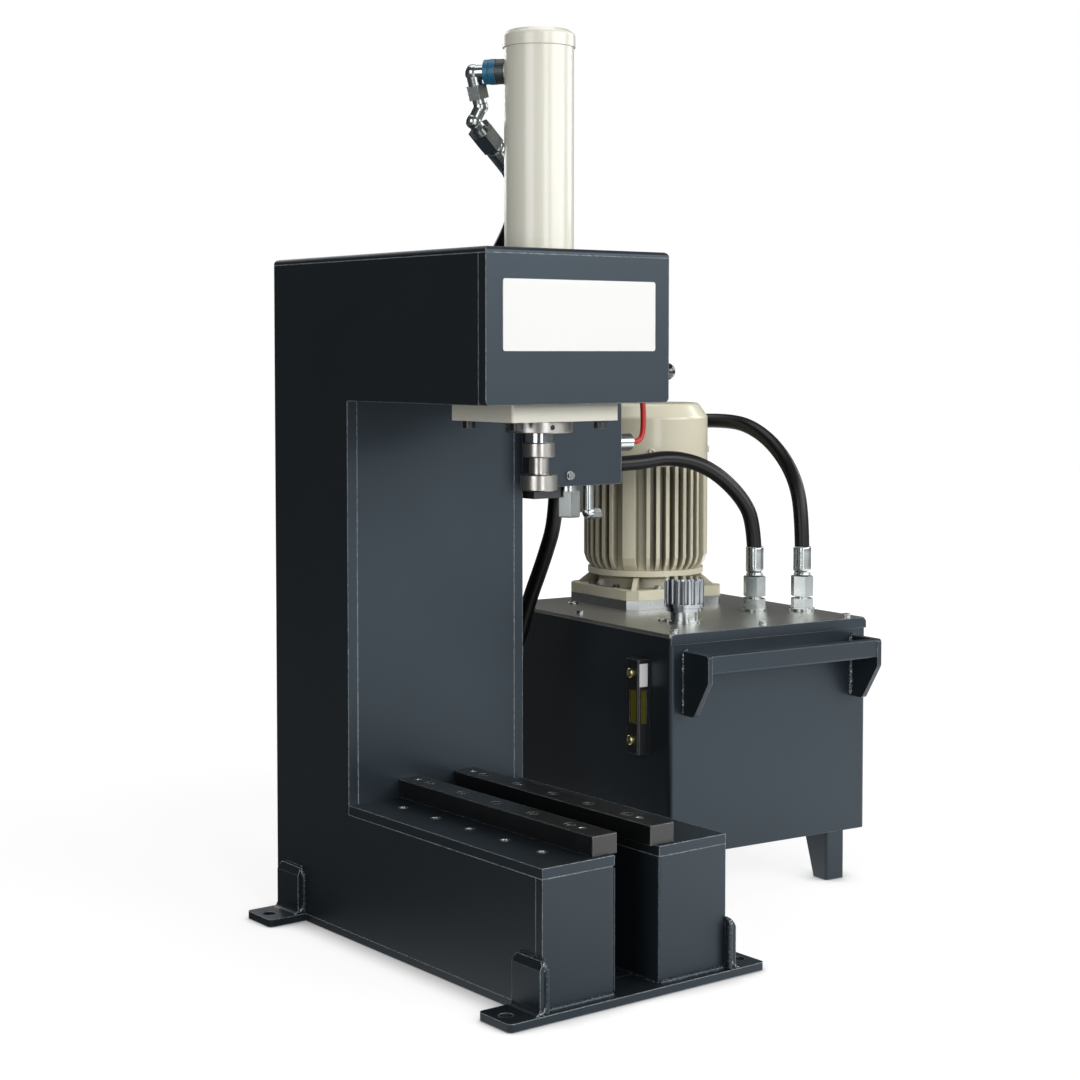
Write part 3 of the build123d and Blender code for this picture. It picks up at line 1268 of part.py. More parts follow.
def lower_port_direction():
    """The way the barrel's lower port points."""
    return (cos(radians(lower_port_angle)), sin(radians(lower_port_angle)), 0)


# Ports, slots and the routes of hoses and pipes
top_port_z = barrel_top - port_height_below_cap
lower_port_z = head_underside + 46.0
lower_port_angle = 65.0
spanner_first_angle = -104.0
hose_slot_x = 39.0
hose_slot_y = 46.0
hose_slot_length = 58.0
hose_slot_width = 34.0
back_opening_x0 = -70.0
back_opening_x1 = 40.0
back_opening_z0 = 160.0
back_opening_z1 = 310.0
relief_x = 178.0
nipple_x = 207.0
plug_y = 100.0
cylinder_valve_x = 206.0
cylinder_valve_z = 530.0
supply_seat_x = 195.0
supply_valve_y = 124.0
supply_valve_z = 490.0
retract_y = 122.0
retract_z = 560.0
grommet_y = 92.0
grommet_z = head_middle + 2.0
elbow_leg = 13.0
coupling_nut_length = 14.0
first_run = 57.0
first_elbow_out = (0.28, 0.02, -0.95)
second_elbow_in = (-0.45, 0.10, -0.87)
cylinder_hose_out = (0.79, 0.218, -0.574)
supply_points = [
    (434.0, 90.0, 449.0), (395.0, 104.0, 484.0), (346.0, 118.0, 497.0), (296.0, 124.0, 490.0),
]
return_points = [
    (501.0, 62.0, 465.0), (501.0, 98.0, 506.0), (501.0, 145.0, 530.0), (502.0, 195.0, 535.0),
    (502.0, 235.0, 533.0),
]
return_pipe_points = [
    (502.0, 235.5, 533.0), (502.0, 345.0, 533.0), (138.0, 345.0, 548.0), (138.0, 140.0, 548.0),
]
retract_points = [
    (46.0, 22.0, 616.0), (52.0, 122.0, 616.0), (62.0, 122.0, 560.0), (118.0, 122.0, 560.0),
]
cable_points = [
    (281.5, 100.0, 517.0), (287.5, 100.0, 524.5), (289.0, 100.0, 538.0), (288.0, 100.0, 562.0),
    (283.0, 99.0, 598.0), (264.0, 97.0, 631.0), (228.0, 94.0, 648.0), (178.0, 92.0, 650.0),
    (128.0, 92.0, 648.0), (96.0, 92.0, 648.0),
]
cylinder_points = [
    (45.0, 22.0, 762.0), (44.0, 56.0, 720.0), (32.0, 92.0, 676.0), (14.0, 122.0, 630.0),
    (-6.0, 146.0, 582.0), (-21.0, 161.0, 528.0), (-31.0, 171.0, 471.0), (-36.0, 178.0, 413.0),
    (-39.0, 184.0, 354.0), (-36.0, 196.0, 296.0), (-29.0, 222.0, 244.0), (-7.0, 262.0, 206.0),
    (38.0, 291.0, 183.0), (96.0, 301.0, 177.0), (152.0, 291.0, 192.0), (193.0, 265.0, 227.0),
    (208.0, 234.0, 274.0), (201.0, 206.0, 325.0), (204.0, 180.0, 377.0),
]

frame_parts()
feet_parts()
bed_parts()
cylinder_parts()
ram_parts()
valve_parts()
tank_parts()
motor_parts()
hose_parts()
keep("cap_screws", *cap_screws)
keep("hex_screws", *hex_screws)
keep("steel_pipes", *steel_pipes)
keep("cylinder_seals", *seals)

os.makedirs("parts", exist_ok=True)
for node_name, node_solids in nodes.items():
    shape = node_solids[0] if len(node_solids) == 1 else Compound(children=node_solids)
    export_step(shape, os.path.join("parts", node_name + ".step"))
print(len(nodes), "nodes written")
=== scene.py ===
"""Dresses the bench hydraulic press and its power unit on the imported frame.

Metres, +X to the press's right, where the tank stands, -Y to its front and +Z up.
"""

from __future__ import annotations

import json
import logging
import math
from dataclasses import dataclass, field
from enum import Enum

import bmesh
import bpy
from mathutils import Matrix, Vector

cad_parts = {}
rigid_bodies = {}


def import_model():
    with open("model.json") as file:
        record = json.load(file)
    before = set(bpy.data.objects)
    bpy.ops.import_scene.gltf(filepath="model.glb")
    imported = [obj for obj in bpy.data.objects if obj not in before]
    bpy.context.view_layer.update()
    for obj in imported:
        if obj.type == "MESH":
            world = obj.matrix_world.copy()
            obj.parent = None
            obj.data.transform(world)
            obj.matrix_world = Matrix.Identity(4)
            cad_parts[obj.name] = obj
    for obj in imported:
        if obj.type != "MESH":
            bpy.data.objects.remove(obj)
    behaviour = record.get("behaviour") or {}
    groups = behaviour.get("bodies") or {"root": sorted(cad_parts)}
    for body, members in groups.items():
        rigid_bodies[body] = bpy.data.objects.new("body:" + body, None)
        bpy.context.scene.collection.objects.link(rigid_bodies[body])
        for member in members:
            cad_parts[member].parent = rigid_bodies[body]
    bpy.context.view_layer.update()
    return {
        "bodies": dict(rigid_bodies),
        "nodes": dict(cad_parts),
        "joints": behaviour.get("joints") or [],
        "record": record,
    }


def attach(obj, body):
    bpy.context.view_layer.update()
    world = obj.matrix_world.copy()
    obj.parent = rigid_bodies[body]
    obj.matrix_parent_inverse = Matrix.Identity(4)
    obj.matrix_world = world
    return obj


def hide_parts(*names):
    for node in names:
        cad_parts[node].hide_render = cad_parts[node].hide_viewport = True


log = logging.getLogger("press")

Point = tuple[float, float, float]
Profile = list[tuple[float, float]]
MM = 0.001

# Levels of the fine noise between which a bright speckle, part wear and part painted glint, grows to its full share.
SPECKLE_AND_GLINT_RANGE = (0.52, 0.66)
# Cosine between the rounded and the flat normal, from an untouched face to an edge at full wear and painted
# highlight.
EDGE_WEAR_AND_HIGHLIGHT_RANGE = (0.995, 0.86)
# The edges' wear and painted highlight come and go in patches of this size, between these levels of their noise.
EDGE_WEAR_AND_HIGHLIGHT_PATCH_MM = 3.846
EDGE_WEAR_AND_HIGHLIGHT_PATCH_RANGE = (0.35, 0.62)
EDGE_WEAR_AND_HIGHLIGHT_PATCH_LEAST = 0.35
# Painted shade in crevices: share of open sky from an open face to a deep crevice, and the shade colour's share
# there.
CREVICE_SHADE_RANGE = (0.75, 0.15)
CREVICE_SHADE_SHARE = 0.95
COAT_ROUGHNESS = 0.12
ACRYLIC_IOR = 1.49
# Steps in each rounded corner of a plate.
CORNER_STEPS = 6
# A weld bead's regular ripple and its slower wander, as shares of its radius.
BEAD_RIPPLE = 0.10
BEAD_WANDER = 0.06
BEAD_WANDER_RATE = 913.0
BEAD_TIP = 0.35


def metres(values: tuple[float, ...]) -> tuple[float, ...]:
    """Turn a point's millimetres to metres."""
    return tuple(value * MM for value in values)


def profile_in_metres(pairs: Profile) -> Profile:
    """Turn a profile's millimetres to metres."""
    return [(along * MM, radius * MM) for along, radius in pairs]


def linear(code: str) -> tuple[float, float, float, float]:
    """Turn an sRGB hex code into a linear colour.

    Args:
        code: Six hex digits with a leading hash sign.

    Returns:
        Linear red, green, blue and an alpha of 1.
    """
    parts = [int(code[i : i + 2], 16) / 255 for i in (1, 3, 5)]
    red, green, blue = [p / 12.92 if p <= 0.04045 else ((p + 0.055) / 1.055) ** 2.4 for p in parts]
    return red, green, blue, 1.0


def add_node(
    tree: bpy.types.NodeTree, kind: str, settings: dict | None = None, links: dict | None = None,
) -> bpy.types.Node:
    """Add a node with its settings and links.

    Args:
        tree: Node tree that receives the node.
        kind: Blender's node type name.
        settings: Attribute or input names, each with its value.
        links: Input names or numbers, each with the output socket that feeds it.

    Returns:
        The new node.
    """
    node = tree.nodes.new(kind)
    for key, value in (settings or {}).items():
        if isinstance(key, str) and hasattr(node, key):
            setattr(node, key, value)
        else:
            node.inputs[key].default_value = value
    for key, socket in (links or {}).items():
        tree.links.new(socket, node.inputs[key])
    return node


class Grain(Enum):
    """How the surface was made, which decides the run of its fine relief."""

    EVEN = (1.0, 1.0, 1.0)
    TURNED = (0.02, 0.02, 1.0)
    BRUSHED = (0.02, 1.0, 1.0)
    DRAWN = (1.0, 1.0, 0.05)


@dataclass(frozen=True)
class Finish:
    """One real finish: its colours, gloss and relief, with sizes in millimetres."""

    title: str
    colour: str
    second: str = ""
    cloud_mm: float = 60.0
    metallic: float = 0.0
    roughness: float = 0.5
    roughness_spread: float = 0.06
    grain: Grain = Grain.EVEN
    grain_mm: float = 0.8
    relief_mm: float = 0.01
    edge_mm: float = 0.6
    # Paler colour along the edges, partly rubbed wear and partly painted highlight, and its share.
    edge: str = ""
    edge_wear_and_highlight_share: float = 0.5
    coat: float = 0.0
    specular: float = 0.5
    sheen_tint: str = "#ffffff"
    # Painted shade where the piece's own walls stand close: how far they are sought, and the shade's colour.
    crevice_shade_mm: float = 0.0
    crevice_shade_colour: str = "#0a0b0c"
    # Share of bright speckles, part wear and part painted glint.
    speckle_and_glint: float = 0.0

    def build(self) -> bpy.types.Material:
        """Make the finish's node material.

        Returns:
            The material.
        """
        material = bpy.data.materials.new(self.title)
        material.use_nodes = True
        tree = material.node_tree
        tree.nodes.clear()
        place = add_node(tree, "ShaderNodeTexCoord").outputs["Object"]
        grain_place = add_node(tree, "ShaderNodeMapping", {"Scale": self.grain.value}, {"Vector": place})
        cloud = add_node(
            tree, "ShaderNodeTexNoise", {"Scale": 1000 / self.cloud_mm, "Detail": 4.0}, {"Vector": place},
        ).outputs["Fac"]
        fine = add_node(
            tree, "ShaderNodeTexNoise", {"Scale": 1000 / self.grain_mm, "Detail": 3.0, "Roughness": 0.55},
            {"Vector": grain_place.outputs[0]},
        ).outputs["Fac"]
        rounded = add_node(tree, "ShaderNodeBevel", {"samples": 4, "Radius": self.edge_mm * MM}).outputs[0]
        tones = add_node(
            tree, "ShaderNodeMix",
            {"data_type": "RGBA", 6: linear(self.colour), 7: linear(self.second or self.colour)}, {0: cloud},
        )
        colour = tones.outputs[2]
        # Bright speckles: part wear and part painted glint.
        if self.speckle_and_glint:
            colour = self.speckles_and_glints(tree, colour, fine)
        # Paler edges: partly rubbed wear and partly painted highlight.
        if self.edge:
            colour = self.edge_wear_and_highlight(tree, colour, rounded, place)
        # Painted shade in the piece's crevices.
        if self.crevice_shade_mm:
            colour = self.paint_crevice_shade(tree, colour)
        gloss = add_node(
            tree, "ShaderNodeMapRange",
            {"To Min": self.roughness - self.roughness_spread, "To Max": self.roughness + self.roughness_spread},
            {"Value": cloud},
        )
        relief = add_node(
            tree, "ShaderNodeBump", {"Strength": 1.0, "Distance": self.relief_mm * MM},
            {"Height": fine, "Normal": rounded},
        )
        shader = add_node(
            tree, "ShaderNodeBsdfPrincipled",
            {"Metallic": self.metallic, "Coat Weight": self.coat, "Coat Roughness": COAT_ROUGHNESS,
             "Specular IOR Level": self.specular, "Specular Tint": linear(self.sheen_tint)},
            {"Base Color": colour, "Roughness": gloss.outputs[0], "Normal": relief.outputs[0]},
        )
        add_node(tree, "ShaderNodeOutputMaterial", {}, {"Surface": shader.outputs[0]})
        return material

    def speckles_and_glints(
        self, tree: bpy.types.NodeTree, colour: bpy.types.NodeSocket, fine: bpy.types.NodeSocket,
    ) -> bpy.types.NodeSocket:
        """Scatter bright speckles, part wear and part painted glint, over a colour, where the fine noise peaks.

        Args:
            tree: The material's node tree.
            colour: Output that gives the colour so far.
            fine: Output of the fine noise.

        Returns:
            Output of the colour with its speckles and painted glints.
        """
        low, high = SPECKLE_AND_GLINT_RANGE
        dots = add_node(
            tree, "ShaderNodeMapRange", {"From Min": low, "From Max": high, "To Max": self.speckle_and_glint}, {"Value": fine},
        )
        mixed = add_node(
            tree, "ShaderNodeMix", {"data_type": "RGBA", 7: linear(self.edge or "#ffffff")},
            {0: dots.outputs[0], 6: colour},
        )
        return mixed.outputs[2]

    def edge_wear_and_highlight(
        self, tree: bpy.types.NodeTree, colour: bpy.types.NodeSocket, rounded: bpy.types.NodeSocket,
        place: bpy.types.NodeSocket,
    ) -> bpy.types.NodeSocket:
        """Let the paler edge colour, partly rubbed wear and partly painted highlight, show in patches along the
        edges.

        Args:
            tree: The material's node tree.
            colour: Output that gives the colour so far.
            rounded: Output of the normal with rounded edges.
            place: Output of the object's own coordinates.

        Returns:
            Output of the colour with its edge wear and painted edge highlight.
        """
        flat = add_node(tree, "ShaderNodeNewGeometry")
        turn = add_node(
            tree, "ShaderNodeVectorMath", {"operation": "DOT_PRODUCT"}, {0: rounded, 1: flat.outputs["Normal"]},
        )
        whole, edge_wear_and_highlight = EDGE_WEAR_AND_HIGHLIGHT_RANGE
        worn_and_highlit = add_node(
            tree, "ShaderNodeMapRange",
            {"From Min": whole, "From Max": edge_wear_and_highlight, "To Min": 0.0, "To Max": self.edge_wear_and_highlight_share},
            {"Value": turn.outputs["Value"]},
        )
        patches = add_node(
            tree, "ShaderNodeTexNoise", {"Scale": 1000 / EDGE_WEAR_AND_HIGHLIGHT_PATCH_MM, "Detail": 3.0}, {"Vector": place},
        )
        low, high = EDGE_WEAR_AND_HIGHLIGHT_PATCH_RANGE
        patchy = add_node(
            tree, "ShaderNodeMapRange", {"From Min": low, "From Max": high, "To Min": EDGE_WEAR_AND_HIGHLIGHT_PATCH_LEAST},
            {"Value": patches.outputs["Fac"]},
        )
        share = add_node(
            tree, "ShaderNodeMath", {"operation": "MULTIPLY"}, {0: worn_and_highlit.outputs[0], 1: patchy.outputs[0]},
        )
        mixed = add_node(
            tree, "ShaderNodeMix", {"data_type": "RGBA", 7: linear(self.edge)}, {0: share.outputs[0], 6: colour},
        )
        return mixed.outputs[2]

    def paint_crevice_shade(self, tree: bpy.types.NodeTree, colour: bpy.types.NodeSocket) -> bpy.types.NodeSocket:
        """Paint shade into a colour where the piece's own walls stand close together.

        Args:
            tree: The material's node tree.
            colour: Output that gives the colour so far.

        Returns:
            Output of the colour with its painted crevice shade.
        """
        reach = add_node(
            tree, "ShaderNodeAmbientOcclusion", {"samples": 6, "only_local": True, "Distance": self.crevice_shade_mm * MM},
        )
        open_face, deep = CREVICE_SHADE_RANGE
        depth = add_node(
            tree, "ShaderNodeMapRange",
            {"From Min": open_face, "From Max": deep, "To Min": 0.0, "To Max": CREVICE_SHADE_SHARE},
            {"Value": reach.outputs["AO"]},
        )
        mixed = add_node(
            tree, "ShaderNodeMix", {"data_type": "RGBA", 7: linear(self.crevice_shade_colour)}, {0: depth.outputs[0], 6: colour},
        )
        return mixed.outputs[2]


@dataclass(frozen=True)
class ClearFinish:
    """A clear or tinted moulding with a plain smooth surface."""

    title: str
    colour: str
    transmission: float = 0.6
    roughness: float = 0.08

    def build(self) -> bpy.types.Material:
        """Make the clear material.

        Returns:
            The material.
        """
        material = bpy.data.materials.new(self.title)
        material.use_nodes = True
        shader = material.node_tree.nodes["Principled BSDF"]
        shader.inputs["Base Color"].default_value = linear(self.colour)
        shader.inputs["Transmission Weight"].default_value = self.transmission
        shader.inputs["Roughness"].default_value = self.roughness
        shader.inputs["IOR"].default_value = ACRYLIC_IOR
        return material


# Two-pack textured paint, sprayed: near black with a cold cast, softly glossy, with paler edges that are partly
# rubbed wear and partly painted highlight.
# Its fine pebble is drawn about twice as coarse as it is, so that it shows.
FRAME_PAINT = Finish(
    "textured_two_pack_paint", "#171c20", "#1a2024", cloud_mm=90, roughness=0.40, grain_mm=1.4, relief_mm=0.035,
    edge_mm=1.3, edge="#c3c9cc", edge_wear_and_highlight_share=1.0, sheen_tint="#d4ecff",
)
# The same paint on thin folded sheet, a little smoother, with the same paler edges of wear and painted highlight.
TANK_PAINT = Finish(
    "textured_paint_on_sheet", "#171c20", "#1a2024", cloud_mm=120, roughness=0.38, grain_mm=1.2, relief_mm=0.02,
    edge_mm=1.1, edge="#b6bcc0", edge_wear_and_highlight_share=0.85, sheen_tint="#d4ecff",
)
# Alkyd enamel, sprayed on turned and cast parts: warm light grey with a soft gloss, and paler edges, partly wear and
# partly painted highlight.
MACHINE_ENAMEL = Finish(
    "alkyd_machine_enamel", "#e0ded1", "#dad8c9", cloud_mm=70, roughness=0.24, grain_mm=2.2, relief_mm=0.015,
    edge_mm=0.8, edge="#efeee4", edge_wear_and_highlight_share=0.35, coat=0.2,
)
# Alkyd enamel on the motor's pressed steel: a shade yellower than the cylinder's, with paler edges, partly wear and
# partly painted highlight.
MOTOR_ENAMEL = Finish(
    "alkyd_motor_enamel", "#dad6c0", "#d3ceb6", cloud_mm=70, roughness=0.24, grain_mm=2.2, relief_mm=0.02,
    edge_mm=0.8, edge="#e6e2d2", edge_wear_and_highlight_share=0.35, coat=0.15,
)
# The same enamel over a sand casting, whose skin shows through as a fine pebble; painted shade darkens the gaps
# between its fins, and its paler edges are partly wear and partly painted highlight.
CAST_ENAMEL = Finish(
    "enamel_on_cast_iron", "#d8d3bd", "#cdc7ad", cloud_mm=40, roughness=0.36, grain_mm=1.6, relief_mm=0.04,
    edge_mm=1.0, edge="#ece8d8", edge_wear_and_highlight_share=0.45, crevice_shade_mm=18, crevice_shade_colour="#4d4632",
)
# Ground tool steel with a hot black oxide: a soft dark sheen, with bright edges that are partly rubbed wear and
# partly painted highlight.
BLACK_OXIDE = Finish(
    "hot_black_oxide_on_ground_steel", "#0e0f10", "#131415", cloud_mm=30, roughness=0.34, grain=Grain.BRUSHED,
    grain_mm=0.5, relief_mm=0.006, edge_mm=0.8, edge="#b9bdbf", edge_wear_and_highlight_share=0.8, specular=0.55,
)
# Turned medium carbon steel, left bright and oiled: fine rings round the part.
TURNED_STEEL = Finish(
    "turned_carbon_steel", "#b5b3af", "#96948f", cloud_mm=14, metallic=1.0, roughness=0.30,
    grain=Grain.TURNED, grain_mm=0.5, relief_mm=0.002, edge_mm=0.5,
)
# Hard chrome on a ground rod: nearly a mirror, with the faintest rings.
HARD_CHROME = Finish(
    "hard_chrome_on_ground_rod", "#c9cccf", "#bfc2c6", cloud_mm=20, metallic=1.0, roughness=0.13,
    roughness_spread=0.04, grain=Grain.TURNED, grain_mm=0.4, relief_mm=0.003, edge_mm=0.4,
)
# Bright zinc plate with a clear passivate: cool grey with a bluish cast, slightly uneven.
ZINC_PLATE = Finish(
    "clear_passivated_zinc_plate", "#b9bebd", "#9fa5a6", cloud_mm=12, metallic=1.0, roughness=0.22,
    grain_mm=0.9, relief_mm=0.003, edge_mm=0.4,
)
# Stainless sheet brushed along its width: pale grey with streaks a few centimetres long.
BRUSHED_SHEET = Finish(
    "brushed_stainless_sheet", "#abaaa2", "#9d9d97", cloud_mm=140, metallic=0.9, roughness=0.36,
    roughness_spread=0.05, grain=Grain.BRUSHED, grain_mm=0.7, relief_mm=0.006, edge_mm=0.5,
)
# Gravity cast aluminium, turned and milled outside: bright, with a soft mirror.
CAST_ALUMINIUM = Finish(
    "machined_cast_aluminium", "#a3a6a7", "#94989a", cloud_mm=25, metallic=1.0, roughness=0.28, grain_mm=1.1,
    relief_mm=0.004, edge_mm=0.8,
)
# Bright nickel and chrome plate on a moulded cap: a clear mirror, with painted shade between the flutes.
BRIGHT_CHROME = Finish(
    "bright_chrome_plate", "#a6abaf", "#989da2", cloud_mm=30, metallic=1.0, roughness=0.12, roughness_spread=0.04,
    grain_mm=3.0, relief_mm=0.004, edge_mm=0.4, crevice_shade_mm=7,
)
# Steel hexagon stock, zinc plated with a yellow passivate: a pale gold.
YELLOW_ZINC = Finish(
    "yellow_passivated_zinc", "#cfc89c", "#b4ab7c", cloud_mm=8, metallic=1.0, roughness=0.32, grain=Grain.TURNED,
    grain_mm=0.5, relief_mm=0.01, edge_mm=0.4,
)
# Nitrile rubber hose, cured in a cloth wrap: black with a faint weave and a dull sheen.
HOSE_RUBBER = Finish(
    "cloth_wrapped_nitrile_rubber", "#0a0b0c", "#101112", cloud_mm=25, roughness=0.34, grain_mm=1.0, relief_mm=0.03,
    edge_mm=0.3, specular=0.26,
)
# Extruded PVC cable sheath, satin red.
CABLE_SHEATH = Finish(
    "extruded_pvc_sheath", "#c3271d", "#b01f17", cloud_mm=30, roughness=0.38, grain_mm=1.5, relief_mm=0.01,
    edge_mm=0.3,
)
# Weld bead, wire brushed through a thin coat of paint: dark with bright ripples, partly bare metal and partly painted
# glint, drawn coarse so that they show.
WELD = Finish(
    "brushed_weld_bead", "#1b2024", "#353c41", cloud_mm=9, metallic=0.2, roughness=0.30, grain_mm=2.4,
    relief_mm=0.25, edge_mm=0.3, edge="#c9d0d3", edge_wear_and_highlight_share=0.35, speckle_and_glint=0.75,
)
# Weld bead under a full coat of the same paint, with a few pale ripples, partly rubbed and partly painted highlight.
PAINTED_WELD = Finish(
    "painted_weld_bead", "#171c20", "#22282c", cloud_mm=14, roughness=0.30, grain_mm=1.8, relief_mm=0.10, edge_mm=0.6,
    edge="#8f979b", edge_wear_and_highlight_share=0.6, speckle_and_glint=0.28, sheen_tint="#d4ecff",
)
# Bare steel of a drilled and countersunk edge: bright, with the cutter's rings.
CUT_STEEL = Finish(
    "countersunk_bare_steel", "#b9bcbe", "#a3a7aa", cloud_mm=4, metallic=1.0, roughness=0.30, grain=Grain.TURNED,
    grain_mm=0.4, relief_mm=0.004, edge_mm=0.1,
)
# Phosphated steel, dark slate and matt.
PHOSPHATED_STEEL = Finish(
    "phosphated_steel", "#4a5253", "#3e4647", cloud_mm=10, metallic=0.6, roughness=0.42, grain_mm=0.8,
    relief_mm=0.01, edge_mm=0.4,
)
# Moulded nylon, satin black, with a painted highlight along its edges.
NYLON = Finish(
    "moulded_nylon", "#121315", "#18191b", cloud_mm=20, roughness=0.36, grain_mm=0.9, relief_mm=0.01, edge_mm=0.6,
    edge="#c4c8ca", edge_wear_and_highlight_share=0.6,
)
# Compression moulded phenolic ball, polished: deep gloss black.
PHENOLIC = Finish(
    "polished_phenolic", "#0b0b0c", "#0e0e10", cloud_mm=20, roughness=0.10, roughness_spread=0.03, grain_mm=4.0,
    relief_mm=0.003, edge_mm=0.3, coat=0.6,
)
# Cast polyurethane ring, satin blue.
POLYURETHANE = Finish(
    "cast_polyurethane", "#1d6a8c", "#195c7a", cloud_mm=10, roughness=0.40, grain_mm=1.0, relief_mm=0.01, edge_mm=0.4,
)
# Iron block with a thin satin black paint, with paler edges, partly wear and partly painted highlight.
BLACKENED_IRON = Finish(
    "black_painted_iron", "#1b1d20", "#232629", cloud_mm=30, roughness=0.45, grain_mm=1.2, relief_mm=0.03,
    edge_mm=0.8, edge="#777c80", edge_wear_and_highlight_share=0.3,
)
# Polyester film with a matt face, rolled flat: an even white.
POLYESTER_FILM = Finish(
    "matt_polyester_film", "#eaeae8", "#e6e7e5", cloud_mm=90, roughness=0.48, roughness_spread=0.03, grain_mm=1.5,
    relief_mm=0.004, edge_mm=0.3,
)
# Enamelled copper winding under varnish.
WINDING = Finish(
    "varnished_copper_winding", "#8a4a22", "#6f3817", cloud_mm=12, metallic=0.4, roughness=0.38, grain=Grain.DRAWN,
    grain_mm=1.0, relief_mm=0.2, edge_mm=0.8,
)
# Woven stainless wire cloth, drawn coarser than it is so that it shows.
WIRE_CLOTH = Finish(
    "woven_wire_cloth", "#8f9396", "#6c7073", cloud_mm=4, metallic=0.9, roughness=0.42, grain_mm=1.2,
    relief_mm=0.15, edge_mm=0.4,
)
# Acrylic sight window over yellow oil.
OIL_WINDOW = ClearFinish("acrylic_over_yellow_oil", "#6f6a16", 0.35, 0.08)

SLOT_FINISHES: dict[str, Finish | ClearFinish] = {
    "frame_paint": FRAME_PAINT, "tank_paint": TANK_PAINT, "machine_paint": MACHINE_ENAMEL,
    "black_oxide": BLACK_OXIDE, "turned_steel": TURNED_STEEL, "hard_chrome": HARD_CHROME,
    "zinc_plate": ZINC_PLATE, "dark_cast": BLACKENED_IRON,
    "knob_plastic": PHENOLIC, "dark_plastic": NYLON, "blue_seal": POLYURETHANE, "hose_rubber": HOSE_RUBBER,
    "red_sheath": CABLE_SHEATH, "brushed_lid": BRUSHED_SHEET, "oil_window": OIL_WINDOW, "gauge_brass": YELLOW_ZINC,
    "cap_chrome": BRIGHT_CHROME, "cast_aluminium": CAST_ALUMINIUM, "winding": WINDING, "strainer_mesh": WIRE_CLOTH,
}
NODE_FINISHES: dict[str, Finish] = {
    "motor_housing": CAST_ENAMEL, "motor_flange": CAST_ENAMEL,
    "fan_cover": MOTOR_ENAMEL, "terminal_box": MOTOR_ENAMEL,
}


class Palette:
    """Builds each finish once and dresses the frame's own nodes."""

    def __init__(self) -> None:
        """Start with no material built."""
        self.built: dict[str, bpy.types.Material] = {}

    def get(self, finish: Finish | ClearFinish) -> bpy.types.Material:
        """Give the material of a finish, and build it at its first use.

        Args:
            finish: One of the finishes above.

        Returns:
            Its material.
        """
        if finish.title not in self.built:
            self.built[finish.title] = finish.build()
        return self.built[finish.title]

    def dress_nodes(self, frame: dict) -> None:
        """Assign a finish to every node that the frame brings.
        """
        slots = {entry["node"]: entry["material_slot"] for entry in frame["record"]["subparts"]}
        for name, node in frame["nodes"].items():
            finish = NODE_FINISHES.get(name, SLOT_FINISHES[slots[name]])
            node.data.materials.clear()
            node.data.materials.append(self.get(finish))
        log.info("dressed %d nodes", len(slots))


def new_piece(
    name: str, mesh: bpy.types.Mesh, material: bpy.types.Material, body: str = "press",
) -> bpy.types.Object:
    """Put a mesh in the scene as a piece that rides on a body.

    Args:
        name: Name of the piece.
        mesh: Its mesh, in the row frame.
        material: Its finish.
        body: The body that carries it.

    Returns:
        The new object.
    """
    piece = bpy.data.objects.new(name, mesh)
    bpy.context.scene.collection.objects.link(piece)
    mesh.materials.append(material)
    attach(piece, body)
    log.info("built %s", name)
    return piece


